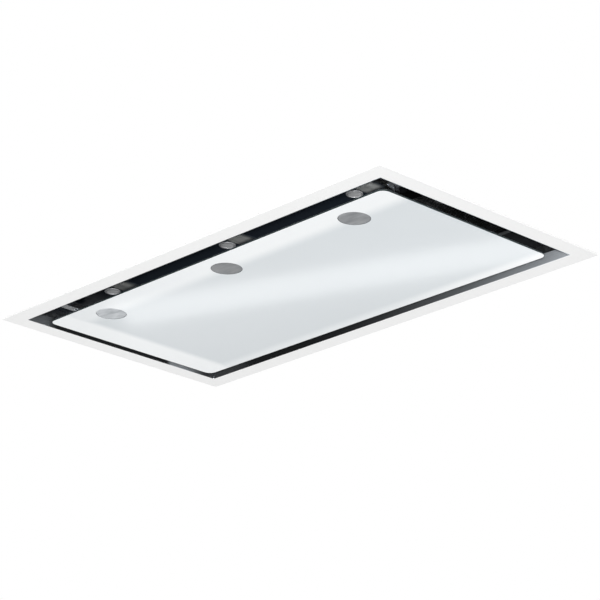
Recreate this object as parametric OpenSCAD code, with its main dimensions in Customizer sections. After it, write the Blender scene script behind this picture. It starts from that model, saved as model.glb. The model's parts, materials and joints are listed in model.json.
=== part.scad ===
// Ceiling range hood with a hinged suction panel and suction all round its edge.
// Units are millimetres. X runs along the hood, Y across it, +Z up into the ceiling.
// The origin is the middle of the opening, in the plane of the ceiling's lower face.

/* [Flange] */
// Length of the white flange along X
flange_l = 1200; // [1160:5:1300]
// Width of the white flange along Y
flange_w = 630; // [610:5:700]
// Visible border from the flange's edge to the opening
flange_border = 42; // [38:1:48]
// Thickness of the flange sheet
flange_sheet = 1.5; // [1:0.1:2]
// Depth of the folded rim that touches the ceiling
flange_depth = 3; // [2.6:0.1:4.5]
// Radius of the flange's outer corners
flange_corner_r = 4; // [2:0.5:10]
// Radius of the weld studs on the flange
stud_r = 2; // [1.5:0.1:2.5]
// Distance between the studs on a long side
stud_pitch = 300; // [240:10:330]
// Width of the foam strip between flange and ceiling
gasket_w = 16; // [8:1:18]

/* [Recess] */
// Height of the polished wall above the flange sheet
liner_h = 22; // [16:1:26]
// Thickness of the polished steel
liner_sheet = 1; // [0.8:0.1:1.5]
// Distance from the polished wall to the housing wall
channel_w = 11; // [10:0.5:14]
// Height of the recess from the flange's lower face to the plenum plate
cavity_h = 49.5; // [47:0.5:56]

/* [Housing] */
// Thickness of the galvanised sheet
house_sheet = 1.5; // [1:0.1:2]
// Height of the lower housing above the ceiling's face
plenum_h = 105; // [98:1:130]
// Depth of the lid's edge folded down over the walls
lid_edge = 16; // [12:1:24]
// Distance of the hanging holes from the housing's short sides
hang_inset_x = 51.5; // [46:0.5:70]
// Distance of the hanging holes from the housing's long sides
hang_inset_y = 66.5; // [50:0.5:80]
// Radius of the hanging holes, for M8 rods
hang_hole_r = 4.5; // [4.2:0.1:6]
// Free height under a hanging bracket, for the nut
hang_h = 30; // [24:1:40]

/* [Suction panel] */
// Slot between the panel and the opening at the short sides
panel_gap_x = 29; // [25:1:34]
// Slot between the panel and the opening at the long sides
panel_gap_y = 36; // [32:1:40]
// Thickness of the white glass
glass_t = 4; // [3:0.5:5]
// How far the glass stands below the flange
panel_drop = 4.5; // [3:0.5:6]
// Radius of the glass corners
panel_corner_r = 18; // [12:1:24]
// Distance from the glass edge to the steel tray behind it
tray_inset = 22; // [20:1:26]
// Height of the steel tray
tray_h = 13; // [11:0.5:14]
// Thickness of the tray's sheet
tray_sheet = 1.2; // [1:0.1:1.5]
// Radius of the round windows
window_r = 33; // [28:0.5:36]
// Distance between the windows, and between the lamps above them
lamp_pitch = 385; // [370:5:395]
// Distance of the windows' centres from the panel's edge
window_inset = 61.5; // [58:0.5:64]

/* [Panel hinge and catches] */
// Distance of each hinge from the middle
hinge_x = 380; // [300:5:440]
// Radius of the hinge pins
hinge_pin_r = 3; // [2.5:0.1:3.5]
// Height of the hinge axis above the ceiling's face
hinge_z = 19; // [18:0.5:21]
// Distance from the tray's end to the middle of a catch
catch_inset = 10; // [9:0.5:12]
// Height of the catch bars above the flange's lower face
catch_h = 31; // [29:0.5:33]
// Radius of the catch magnets
magnet_r = 7; // [5:0.5:8]

/* [Lamps] */
// Outer radius of the lamp bezels
bezel_r = 17.5; // [16:0.5:20]
// Radius of the lamp lenses
lamp_lens_r = 13.3; // [12:0.1:13.5]
// How far the bezels stand below the plenum plate
bezel_drop = 2.5; // [2:0.1:3.5]
// Height of the lamp cans above the plate
can_h = 30; // [24:1:38]

/* [Grease filters] */
// Length of one filter along X
filter_l = 328; // [300:2:336]
// Width of one filter along Y
filter_w = 298; // [280:2:300]
// Thickness of a filter
filter_t = 9; // [8:0.5:12]
// Width of the filter's frame
filter_border = 13; // [11:0.5:16]
// Middle of the filters from the middle line of the hood
filter_y = 38; // [34:1:40]
// Travel of a filter latch
latch_travel = 6; // [5:0.5:7]
// Number of mesh openings along a filter
mesh_nx = 12; // [8:1:14]
// Number of mesh openings across a filter
mesh_ny = 9; // [6:1:10]

/* [Blower] */
// Outer radius of the impeller
wheel_r = 95; // [85:1:98]
// Height of the impeller
wheel_h = 104; // [90:1:108]
// Number of impeller blades
blade_n = 36; // [24:1:44]
// Radius of the motor shaft
shaft_r = 5; // [4:0.5:6]
// Clear height inside the scroll
scroll_h = 130; // [126:1:132]
// Wall thickness of the scroll
scroll_wall = 2.5; // [2:0.1:3]
// Smallest radius of the scroll
scroll_r0 = 104; // [102:1:110]
// Growth of the scroll's radius over one turn
scroll_grow = 100; // [90:1:102]
// Width of the scroll's outlet
throat_w = 106; // [100:1:108]
// Height of the rubber feet under the scroll
feet_h = 13; // [11:0.5:14]
// Length of the motor box along X
box_l = 460; // [440:5:500]
// Width of the motor box along Y
box_w = 380; // [376:2:400]
// Height of the motor box
box_h = 185; // [180:1:200]

/* [Duct collar] */
// Outer radius of the collar, for a duct of 150 mm
collar_r = 74.5; // [74:0.1:75]
// Wall thickness of the collar
collar_wall = 2; // [1.5:0.1:2.5]
// Length of the collar outside the box
collar_l = 62; // [60:1:75]
// Radius of the flap pin
flap_pin_r = 2; // [1.5:0.1:2.2]
// Thickness of the flaps
flap_t = 1.2; // [1:0.1:1.4]

/* [Control box] */
// Length of the control box along X
case_l = 180; // [150:5:184]
// Width of the control box along Y
case_w = 120; // [100:5:130]
// Height of the control box
case_h = 55; // [50:1:65]
// Distance between the motor box and the control box
conduit_run = 70; // [66:1:78]
// Distance of the control box's middle from the housing's near long side
control_inset_y = 201.5; // [190:0.5:240]
// Radius of the hole for the supply cable
cable_r = 4; // [3.5:0.1:5]

/* [Hidden] */
$fn = 64;

// Clearance of a turning pin in its hole
pin_fit = 0.05;
// Clearance round a loose round piece
round_gap = 0.3;
// Clearance between moving flat pieces
flat_gap = 0.3;
// Clearance round a filter in its bay
filter_gap = 1;
// How far a cutting shape runs past the face it cuts
cut = 1;
// Length of a cutting cylinder that goes through a folded wall
wall_cut = 16;

// Levels of the flange and what stands on it
z_under = -flange_depth;
z_foot = z_under + flange_sheet;
z_hem = z_foot + liner_sheet;
z_nut = z_hem + house_sheet;

// Plan sizes of the opening and the housing
open_l = flange_l - 2 * flange_border;
open_w = flange_w - 2 * flange_border;
liner_l = open_l + 2 * liner_sheet;
liner_w = open_w + 2 * liner_sheet;
house_il = liner_l + 2 * channel_w;
house_iw = liner_w + 2 * channel_w;
house_l = house_il + 2 * house_sheet;
house_w = house_iw + 2 * house_sheet;
hem_w = channel_w - 2;
liner_lip = 3;
gasket_edge = 3;

// Studs and nuts
stud_h = 8;
stud_n = 4;
stud_side_y = stud_pitch / 2;
stud_line_x = house_il / 2 - hem_w / 2;
stud_line_y = house_iw / 2 - hem_w / 2;
nut_across = 7;
nut_h = 3.2;
stud_places = concat(
    [for (i = [0:stud_n - 1], s = [-1, 1]) [(i - (stud_n - 1) / 2) * stud_pitch, s * stud_line_y]],
    [for (i = [-1, 1], s = [-1, 1]) [s * stud_line_x, i * stud_side_y]]
);

// Plenum plate, with its aperture for the filters
z_plate = z_under + cavity_h;
plate_t = 1;
plate_edge = 10;
lip_h = 5.5;
crossbar_w = 6;
filter_n = 3;
bay_pitch = filter_l + crossbar_w + 2 * filter_gap;
aperture_l = filter_n * (filter_l + 2 * filter_gap) + (filter_n - 1) * crossbar_w;
aperture_w = filter_w + 2 * filter_gap;
z_lip = z_plate + lip_h;

// Round screws and rivets
screw_r = 2;
screw_head_r = 4;
screw_head_h = 2.2;
screw_end = 3;
rivet_r = 1.6;
rivet_head_r = 3.4;
rivet_head_h = 1.2;
rivet_end = 2;
rivet_z = z_plate + plate_t + plate_edge / 2;
rivet_n = 5;
rivet_pitch = 230;
side_rivet_y = 160;

// Lid screws
lid_t = 1.5;
lid_l = house_l + 2 * lid_t;
lid_w = house_w + 2 * lid_t;
lid_screw_z = plenum_h - lid_edge / 2;
lid_screw_n = 4;
lid_screw_pitch = 290;
lid_side_y = 170;
lid_screw_l = 7;
bead_r = 2;
bead_out = 1;
bead_z = 66;
bead_step = 14;
bead_l = house_l * 0.8;

// Ribs pressed in the lid and in the motor box
rib_r = 6;
rib_out = 2;
rib_root = 0.5;
rib_end = 40;
lid_rib_step = 110;
lid_rib_gap = 25;

// Hanging brackets
hang_pitch_x = house_l - 2 * hang_inset_x;
hang_pitch_y = house_w - 2 * hang_inset_y;
hang_plate = 2.5;
hang_w = 44;
hang_top = 40;
hang_foot = 18;
hang_screw_y = 12;

// Lamps
neck_t = 1.2;
neck_h = 8;
lamp_hole_r = 15;
can_r = 18;
can_fin_r = 21;
can_fin_n = 5;
can_fin_t = 1.6;
lens_t = 2;
lens_recess = 0.7;
neck_r = lamp_lens_r + round_gap + neck_t;
z_lens = z_plate - bezel_drop + lens_recess;

// Covers over the lamp leads
cover_gap = 0.5;
cover_l = 54;
cover_w = 36;
cover_t = 1;
cover_r = 3;

// Suction panel
panel_l = open_l - 2 * panel_gap_x;
panel_w = open_w - 2 * panel_gap_y;
lamp_y = panel_w / 2 - window_inset;
z_face = z_under - panel_drop;
z_glass = z_face + glass_t;
tray_l = panel_l - 2 * tray_inset;
tray_w = panel_w - 2 * tray_inset;
tray_corner_r = 10;
z_tray = z_glass + tray_sheet;
z_rim = z_glass + tray_h;
hem_in = 8;
lens_recess_p = 0.3;
lens_lip = 4;
ring_t = 1.5;
ring_in = 4;
ring_out = 13;
stiff_x = 190;
stiff_w = 44;
stiff_top = 20;
stiff_h = 8;
stiff_t = 1.2;

// Panel hinge
hinge_y = tray_w / 2 + 1;
ear_t = 2;
ear_gap = 18;
ear_r = 7;
leaf_t = 2;
leaf_side = 0.4;
leaf_h = 11;
hinge_base_t = 2;
hinge_base_l = 44;
hinge_base_w = 30;
pin_head_r = 4.5;
pin_head_h = 1.5;

// Panel catches
z_bar = z_under + catch_h;
bar_w = 20;
bar_t = 1.5;
bar_leg = 13;
catch_x = tray_l / 2 - catch_inset;
catch_y = lamp_y;
bar_end_y = catch_y - 11;
catch_screw_y = catch_y + 16;
striker_side = 1;
z_block = z_bar + bar_t;
block_l = 31;
block_past = 7;
block_w = 18;
block_h = 10;
catch_screw_l = 7.5;
catch_head_h = 1.1;
magnet_t = 6;
striker_w = 16;
striker_l = 12;
striker_t = 1.2;
striker_foot = 10;

// Filters and latches
filter_corner_r = 3;
groove = 5;
mesh_t = 5;
mesh_bar = 3.5;
lug_w = 30;
lug_t = 1.5;
lug_reach = 5;
lug_root = 3;
lug_rise = 0.2;
lug_x = 110;
latch_border = 36;
latch_l = 40;
latch_pad = 16;
latch_floor = 1;
pocket_in = 6;
pocket_y0 = -filter_w / 2 + pocket_in;
pocket_l = latch_pad + latch_travel + 2 * flat_gap;
finger_x = 5;
finger_y = 4;
tongue_w = 22;
tongue_t = 1.6;
tongue_reach = 4.5;
grip_r = 1;
grip_n = 3;
grip_step = 4;
grip_l = 28;

// Blower
blower_x = -25;
blower_y = 0;
z_floor = plenum_h + feet_h;
z_room = z_floor + scroll_wall;
z_cover = z_room + scroll_h;
box_sheet = 1.2;
box_foot = 14;
box_screw_x = 184;
box_screw_y = 114;
box_top = plenum_h + box_h;
duct_end = box_w / 2 - box_sheet - blower_y;
spiral_step = 10;
throat_x0 = scroll_r0 + scroll_grow - throat_w;
lug_r = 6;
lug_h = 14;
lug_off = scroll_wall + 4;
scroll_screw_l = 6;
inlet_flare = feet_h + lid_t + 1;
inlet_r = wheel_r - 17;
inlet_gap = 4;
wheel_gap = 3;
wheel_in = 15;
ring_h = 3;
blade_t = 1.2;
blade_arc = 15;
blade_lean = 40;
blade_edge = 0.5;
blade_steps = 6;
z_wheel = z_room + wheel_gap;
rotor_r = 46;
rotor_wall = 61;
rotor_gap = 3;
rotor_floor = 2;
vent_r = 3;
vent_in = 12;
vent_h = 7;
base_h = 10;
base_r = 55;
base_screw_in = 9;
z_rotor_top = z_cover - base_h - rotor_gap;
hub_t = 2;
hub_ring_h = 12;
hub_ring_t = 3;
foot_r = 8;
foot_span_x = 110;
foot_span_y = 95;

// Duct collar and its flaps
collar_x = blower_x + throat_x0 + throat_w / 2;
collar_rim = 9.5;
collar_screw_off = 5.3;
collar_flange_r = collar_r + collar_rim;
collar_flange_t = 2;
collar_screw_l = 8;
collar_z = plenum_h + collar_flange_r + 3;
collar_y = box_w / 2;
collar_in = collar_r - collar_wall;
flap_y = collar_y + 30;
flap_r = collar_in - 0.7;
flap_off = 3.5;
flap_slit = 0.4;
seat_w = 5;
seat_t = 3;
seat_y = flap_y - collar_y - flap_off - flap_t - flat_gap - seat_t;
knuckle_r = 3.2;
knuckle_l = 25;
knuckle_step = 32;
knuckle_z0 = -60;
knuckle_web = 6;
knuckle_web_t = 3;
spring_l = 5;
spring_z0 = 67;

// Control box
control_x = (box_l + case_l) / 2 + conduit_run;
control_y = -house_w / 2 + control_inset_y;
control_wall = 2;
lid_h = 3;
skirt_h = 4;
skirt_t = 3.7;
control_screw_in = 30;
board_t = 1.6;
board_edge = 8;
standoff_r = 3;
standoff_h = 8;
standoff_in = 14;
capacitor_r = 9;
capacitor_h = 30;
coil_l = 40;
coil_w = 34;
coil_h = 26;
relay_l = 28;
relay_w = 14;
relay_h = 16;
conduit_r = 6;
conduit_in = 4.5;
conduit_nut_r = 9;
conduit_nut_h = 6;
gland_r = 8;
gland_neck_r = 6;
gland_hex_h = 5;
gland_in = 4;
gland_l = 12;

// Rectangle with round corners, centred
module rrect(l, w, r) {
    square([l - 2 * r, w], center = true);
    square([l, w - 2 * r], center = true);
    for (x = [-1, 1], y = [-1, 1]) translate([x * (l / 2 - r), y * (w / 2 - r)]) circle(r);
}

// Rectangular ring, outer size l by w with round corners, inner size il by iw
module ring2d(l, w, r, il, iw) {
    difference() {
        if (r > 0) rrect(l, w, r); else square([l, w], center = true);
        square([il, iw], center = true);
    }
}

// Flat plate at height z
module plate(z, t) {
    translate([0, 0, z]) linear_extrude(t) children();
}

// Upright tube
module tube(ro, ri, z, h) {
    translate([0, 0, z]) difference() {
        cylinder(r = ro, h = h);
        translate([0, 0, -cut]) cylinder(r = ri, h = h + 2 * cut);
    }
}

// Screw that points down from z, with its head above
module screw_down(z, shank) {
    translate([0, 0, z]) cylinder(r = screw_head_r, h = screw_head_h);
    translate([0, 0, z - shank]) cylinder(r = screw_r, h = shank);
}

// Half round rib from a to b, standing out of a sheet at height z
module rib(a, b, z) {
    run = norm(b - a);
    turn = atan2(b[1] - a[1], b[0] - a[0]);
    sink = rib_r - rib_out;
    translate([a[0], a[1], z]) rotate([0, 0, turn]) intersection() {
        translate([0, 0, -sink]) rotate([0, 90, 0]) cylinder(r = rib_r, h = run);
        translate([0, -rib_r, -rib_root]) cube([run, 2 * rib_r, rib_r]);
    }
}

// Centres of the lamps, and of the windows below them
module at_lamps() {
    for (k = [-1:1]) translate([k * lamp_pitch, -lamp_y, 0]) children();
}

// Places of the rivets that hold the plenum plate: x, y, turn
rivet_places = concat(
    [for (i = [0:rivet_n - 1], s = [-1, 1]) [(i - (rivet_n - 1) / 2) * rivet_pitch, s * house_w / 2, s * 90]],
    [for (i = [-1, 1], s = [-1, 1]) [s * house_l / 2, i * side_rivet_y, s > 0 ? 0 : 180]]
);

// Places of the lid screws on the walls: x, y, turn
lid_places = concat(
    [for (i = [0:lid_screw_n - 1], s = [-1, 1])
        [(i - (lid_screw_n - 1) / 2) * lid_screw_pitch, s * lid_w / 2, s * 90]],
    [for (i = [-1, 1], s = [-1, 1]) [s * lid_l / 2, i * lid_side_y, s > 0 ? 0 : 180]]
);

module flange_frame() {
    color("white") {
        plate(z_under, flange_sheet) ring2d(flange_l, flange_w, flange_corner_r, liner_l, liner_w);
        plate(z_foot, -z_foot) difference() {
            rrect(flange_l, flange_w, flange_corner_r);
            rrect(flange_l - 2 * flange_sheet, flange_w - 2 * flange_sheet,
                max(flange_corner_r - flange_sheet, 0.4));
        }
        for (p = stud_places) translate([p[0], p[1], z_foot]) cylinder(r = stud_r, h = stud_h);
    }
}

module ceiling_gasket() {
    out_l = flange_l - 2 * gasket_edge;
    out_w = flange_w - 2 * gasket_edge;
    color("dimgray") plate(z_foot, -z_foot)
        ring2d(out_l, out_w, 0, out_l - 2 * gasket_w, out_w - 2 * gasket_w);
}

module recess_liner() {
    color("silver") {
        difference() {
            plate(z_foot, liner_sheet) ring2d(house_l, house_w, 0, open_l, open_w);
            for (p = stud_places) translate([p[0], p[1], z_foot - cut])
                cylinder(r = stud_r + round_gap, h = liner_sheet + 2 * cut);
        }
        plate(z_under, liner_h + flange_sheet) ring2d(liner_l, liner_w, 0, open_l, open_w);
        plate(z_foot + liner_h - liner_sheet, liner_sheet)
            ring2d(liner_l + 2 * liner_lip, liner_w + 2 * liner_lip, 0, open_l, open_w);
    }
}

module flange_nuts() {
    color("lightgray") for (p = stud_places) translate([p[0], p[1], z_nut]) difference() {
        cylinder(r = nut_across / 2 / cos(30), h = nut_h, $fn = 6);
        translate([0, 0, -cut]) cylinder(r = stud_r + pin_fit, h = nut_h + 2 * cut, $fn = 32);
    }
}

module housing_shell() {
    color("lightsteelblue") difference() {
        union() {
            plate(z_hem, plenum_h - lid_t - z_hem) ring2d(house_l, house_w, 0, house_il, house_iw);
            plate(z_hem, house_sheet)
                ring2d(house_l, house_w, 0, house_il - 2 * hem_w, house_iw - 2 * hem_w);
            for (s = [-1, 1], k = [0, 1])
                translate([0, s * (house_w / 2 + bead_out - bead_r), bead_z + k * bead_step])
                    rotate([0, 90, 0]) cylinder(r = bead_r, h = bead_l, center = true);
        }
        plate(z_hem - cut, plenum_h) square([house_il - 2 * hem_w, house_iw - 2 * hem_w], center = true);
        plate(z_nut, plenum_h) square([house_il, house_iw], center = true);
        for (p = stud_places) translate([p[0], p[1], z_hem - cut])
            cylinder(r = stud_r + round_gap, h = house_sheet + 2 * cut);
        for (p = rivet_places) translate([p[0], p[1], rivet_z]) rotate([0, 90, p[2]])
            cylinder(r = rivet_r, h = wall_cut, center = true);
        for (p = lid_places) translate([p[0], p[1], lid_screw_z]) rotate([0, 90, p[2]])
            cylinder(r = screw_r, h = wall_cut, center = true);
    }
}

module housing_top() {
    color("lightsteelblue") difference() {
        union() {
            plate(plenum_h - lid_t, lid_t) square([lid_l, lid_w], center = true);
            for (k = [-1:1]) rib([-lid_l / 2 + rib_end, k * lid_rib_step],
                [-box_l / 2 - box_foot - rib_end / 2, k * lid_rib_step], plenum_h);
            for (k = [0, 1]) translate([0, control_y + case_w / 2 + lid_rib_gap + k * lid_rib_step])
                rib([box_l / 2 + box_foot + rib_end / 2, 0], [lid_l / 2 - rib_end, 0], plenum_h);
        }
        translate([blower_x, blower_y, plenum_h])
            cylinder(r = inlet_r + inlet_flare + inlet_gap, h = wall_cut, center = true);
        for (p = concat(box_screw_places, hang_screw_places, control_screw_places))
            translate([p[0], p[1], plenum_h]) cylinder(r = screw_r, h = wall_cut, center = true);
    }
}

// Strips welded under the rim of the lid, which hold it to the shell
module lid_strips() {
    color("lightsteelblue") difference() {
        plate(plenum_h - lid_edge, lid_edge - lid_t) for (s = [-1, 1]) {
            translate([0, s * (house_w + lid_t) / 2]) square([lid_l, lid_t], center = true);
            translate([s * (house_l + lid_t) / 2, 0]) square([lid_t, house_w - 2 * flat_gap], center = true);
        }
        for (p = lid_places) translate([p[0], p[1], lid_screw_z]) rotate([0, 90, p[2]])
            cylinder(r = screw_r, h = wall_cut, center = true);
    }
}

module housing_screws() {
    color("gray") for (p = lid_places) translate([p[0], p[1], lid_screw_z]) rotate([0, 90, p[2]]) {
        cylinder(r = screw_head_r, h = screw_head_h);
        translate([0, 0, -lid_screw_l]) cylinder(r = screw_r, h = lid_screw_l);
    }
}

// Centres of the hanging holes
hang_places = [for (x = [-1, 1], y = [-1, 1]) [x * hang_pitch_x / 2, y * hang_pitch_y / 2]];
hang_foot_x = hang_top / 2 + hang_foot / 2;
hang_screw_places = [for (p = hang_places, s = [-1, 1], t = [-1, 1])
    [p[0] + s * hang_foot_x, p[1] + t * hang_screw_y]];

module hanging_brackets() {
    in_x = hang_top / 2;
    out_x = in_x + hang_plate;
    end_x = in_x + hang_foot;
    top = hang_h + hang_plate;
    profile = [
        [-end_x, 0], [-in_x, 0], [-in_x, hang_h], [in_x, hang_h], [in_x, 0], [end_x, 0],
        [end_x, hang_plate], [out_x, hang_plate], [out_x, top], [-out_x, top],
        [-out_x, hang_plate], [-end_x, hang_plate]
    ];
    color("gainsboro") difference() {
        for (p = hang_places) translate([p[0], p[1] + hang_w / 2, plenum_h]) rotate([90, 0, 0])
            linear_extrude(hang_w) polygon(profile);
        for (p = hang_places) translate([p[0], p[1], plenum_h + hang_h - cut])
            cylinder(r = hang_hole_r, h = hang_plate + 2 * cut);
        for (p = hang_screw_places) translate([p[0], p[1], plenum_h - cut])
            cylinder(r = screw_r, h = hang_plate + 2 * cut);
    }
}

module hanging_screws() {
    color("gray") for (p = hang_screw_places) translate([p[0], p[1], 0])
        screw_down(plenum_h + hang_plate, hang_plate + lid_t + screw_end);
}

module plenum_plate() {
    ledge_l = aperture_l + 2 * plate_t;
    ledge_w = aperture_w + 2 * plate_t;
    color("dimgray") difference() {
        union() {
            plate(z_plate, plate_t) square([house_il, house_iw], center = true);
            plate(z_plate, plate_t + plate_edge)
                ring2d(house_il, house_iw, 0, house_il - 2 * plate_t, house_iw - 2 * plate_t);
            translate([0, filter_y, 0]) plate(z_plate, lip_h) square([ledge_l, ledge_w], center = true);
        }
        translate([0, filter_y, 0]) plate(z_plate - cut, lip_h + 2 * cut)
            square([aperture_l, aperture_w], center = true);
        at_lamps() translate([0, 0, z_plate - cut]) cylinder(r = lamp_hole_r, h = plate_t + 2 * cut);
        for (p = rivet_places) translate([p[0], p[1], rivet_z]) rotate([0, 90, p[2]])
            cylinder(r = rivet_r, h = wall_cut, center = true);
    }
}

module plenum_rivets() {
    depth = house_sheet + plate_t + rivet_end;
    color("gray") for (p = rivet_places) translate([p[0], p[1], rivet_z]) rotate([0, 90, p[2]]) {
        cylinder(r = rivet_head_r, h = rivet_head_h);
        translate([0, 0, -depth]) cylinder(r = rivet_r, h = depth);
    }
}

module filter_crossbars() {
    color("silver") for (s = [-1, 1]) translate([s * bay_pitch / 2, filter_y, 0])
        plate(z_plate, lip_h) square([crossbar_w, aperture_w], center = true);
}

module filter_frame(k) {
    edge_y = filter_w / 2;
    open_x = filter_l - 2 * filter_border;
    open_y = filter_w - filter_border - latch_border;
    open_mid = (latch_border - filter_border) / 2;
    through = filter_t + 2 * cut;
    color("silver") translate([k * bay_pitch, filter_y, z_plate]) difference() {
        union() {
            linear_extrude(filter_t) rrect(filter_l, filter_w, filter_corner_r);
            for (s = [-1, 1]) translate([s * lug_x - lug_w / 2, edge_y - lug_root, lip_h + lug_rise])
                cube([lug_w, lug_root + lug_reach, lug_t]);
        }
        translate([0, open_mid, -cut]) linear_extrude(through) square([open_x, open_y], center = true);
        translate([0, open_mid, (filter_t - mesh_t) / 2]) linear_extrude(mesh_t)
            square([open_x + 2 * groove, open_y + 2 * groove], center = true);
        translate([-latch_l / 2 - flat_gap, pocket_y0, latch_floor])
            cube([latch_l + 2 * flat_gap, pocket_l, filter_t]);
        translate([-latch_l / 2 + finger_x, pocket_y0 + finger_y, -cut])
            cube([latch_l - 2 * finger_x, pocket_l - 2 * finger_y, filter_t]);
        translate([-tongue_w / 2 - flat_gap, -edge_y - cut, lip_h])
            cube([tongue_w + 2 * flat_gap, pocket_in + 2 * cut, filter_t]);
    }
}

module filter_mesh(k) {
    mesh_l = filter_l - 2 * filter_border + 2 * groove;
    mesh_w = filter_w - filter_border - latch_border + 2 * groove;
    hole_l = (mesh_l - (mesh_nx + 1) * mesh_bar) / mesh_nx;
    hole_w = (mesh_w - (mesh_ny + 1) * mesh_bar) / mesh_ny;
    color("gray") translate([k * bay_pitch, filter_y + (latch_border - filter_border) / 2,
        z_plate + filter_t / 2 - mesh_t / 2]) linear_extrude(mesh_t) difference() {
            square([mesh_l, mesh_w], center = true);
            for (i = [0:mesh_nx - 1], j = [0:mesh_ny - 1])
                translate([-mesh_l / 2 + mesh_bar + i * (hole_l + mesh_bar),
                    -mesh_w / 2 + mesh_bar + j * (hole_w + mesh_bar)]) square([hole_l, hole_w]);
        }
}

module filter_latch(k) {
    z_pad = latch_floor + flat_gap;
    z_tongue = lip_h + flat_gap;
    color("black") translate([k * bay_pitch, filter_y + pocket_y0 + flat_gap, z_plate]) difference() {
        union() {
            translate([-latch_l / 2, 0, z_pad]) cube([latch_l, latch_pad, z_tongue + tongue_t - z_pad]);
            translate([-tongue_w / 2, -pocket_in - flat_gap - tongue_reach, z_tongue])
                cube([tongue_w, pocket_in + tongue_reach + 2, tongue_t]);
        }
        for (i = [0:grip_n - 1])
            translate([0, latch_pad / 2 + (i - (grip_n - 1) / 2) * grip_step, z_pad]) rotate([0, 90, 0])
                cylinder(r = grip_r, h = grip_l, center = true);
    }
}

module lamp_bezels() {
    color("silver") at_lamps() {
        tube(bezel_r, lamp_lens_r + round_gap, z_plate - bezel_drop, bezel_drop);
        tube(neck_r, lamp_lens_r + round_gap, z_plate - cut, neck_h + cut);
    }
}

module lamp_lenses() {
    color("white") at_lamps() translate([0, 0, z_lens]) cylinder(r = lamp_lens_r, h = lens_t);
}

module lamp_cans() {
    z0 = z_plate + plate_t;
    z_back = z_lens + lens_t;
    color("darkgray") at_lamps() difference() {
        union() {
            translate([0, 0, z0]) cylinder(r = can_r, h = can_h);
            for (i = [1:can_fin_n])
                translate([0, 0, z0 + i * can_h / (can_fin_n + 1)]) cylinder(r = can_fin_r, h = can_fin_t);
            translate([0, 0, z_back]) cylinder(r = lamp_lens_r, h = z0 + neck_h - z_back);
        }
        tube(neck_r + pin_fit, lamp_lens_r, z_plate - cut, neck_h + cut + pin_fit);
    }
}

module lead_covers() {
    cover_x = bezel_r + cover_gap + cover_l / 2;
    color("lightgray") at_lamps() translate([cover_x, 0, z_plate - cover_t]) linear_extrude(cover_t)
        rrect(cover_l, cover_w, cover_r);
}

module catch_brackets() {
    wall_y = -house_iw / 2;
    profile = [
        [wall_y, z_bar], [-bar_end_y, z_bar], [-bar_end_y, z_block], [wall_y + bar_t, z_block],
        [wall_y + bar_t, z_bar + bar_leg], [wall_y, z_bar + bar_leg]
    ];
    color("gainsboro") difference() {
        for (s = [-1, 1]) translate([s * catch_x - bar_w / 2, 0, 0]) rotate([90, 0, 90])
            linear_extrude(bar_w) polygon(profile);
        for (s = [-1, 1]) {
            translate([s * catch_x, -catch_y, z_bar - cut])
                cylinder(r = magnet_r + round_gap, h = bar_t + 2 * cut);
            translate([s * catch_x, -catch_screw_y, z_bar - cut]) cylinder(r = screw_r, h = bar_t + 2 * cut);
        }
    }
}

module catch_blocks() {
    color("black") for (s = [-1, 1]) difference() {
        translate([s * catch_x - block_w / 2, -catch_screw_y - block_past, z_block])
            cube([block_w, block_l, block_h]);
        translate([s * catch_x, -catch_y, z_bar]) cylinder(r = magnet_r, h = magnet_t);
        translate([s * catch_x, -catch_screw_y, z_bar]) cylinder(r = screw_r, h = catch_screw_l);
    }
}

module catch_magnets() {
    color("silver") for (s = [-1, 1])
        translate([s * catch_x, -catch_y, z_bar]) cylinder(r = magnet_r, h = magnet_t);
}

module catch_screws() {
    color("white") for (s = [-1, 1]) translate([s * catch_x, -catch_screw_y, z_bar]) {
        translate([0, 0, -catch_head_h]) cylinder(r = screw_head_r, h = catch_head_h);
        cylinder(r = screw_r, h = catch_screw_l);
    }
}

module hinge_brackets() {
    color("gainsboro") for (s = [-1, 1]) translate([s * hinge_x, hinge_y, 0]) difference() {
        union() {
            translate([-hinge_base_l / 2, -hinge_base_w / 2, z_plate - hinge_base_t])
                cube([hinge_base_l, hinge_base_w, hinge_base_t]);
            for (e = [-1, 1]) translate([e * (ear_gap + ear_t) / 2 - ear_t / 2, 0, 0]) {
                translate([0, -ear_r, hinge_z])
                    cube([ear_t, 2 * ear_r, z_plate - hinge_base_t / 2 - hinge_z]);
                translate([0, 0, hinge_z]) rotate([0, 90, 0]) cylinder(r = ear_r, h = ear_t);
            }
        }
        translate([0, 0, hinge_z]) rotate([0, 90, 0])
            cylinder(r = hinge_pin_r, h = hinge_base_l, center = true);
    }
}

module hinge_pins() {
    pin_l = ear_gap + 2 * ear_t;
    color("silver") for (s = [-1, 1]) translate([s * hinge_x, hinge_y, hinge_z]) rotate([0, 90, 0]) {
        cylinder(r = hinge_pin_r, h = pin_l, center = true);
        for (e = [-1, 1]) translate([0, 0, e * (pin_l / 2 + pin_head_h / 2)])
            cylinder(r = pin_head_r, h = pin_head_h, center = true);
    }
}

// Places of the screws that hold the motor box
box_screw_places = concat(
    [for (i = [-1, 0, 1], s = [-1, 1]) [i * box_screw_x, s * (box_w + box_foot) / 2]],
    [for (i = [-1, 1], s = [-1, 1]) [s * (box_l + box_foot) / 2, i * box_screw_y]]
);

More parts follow.
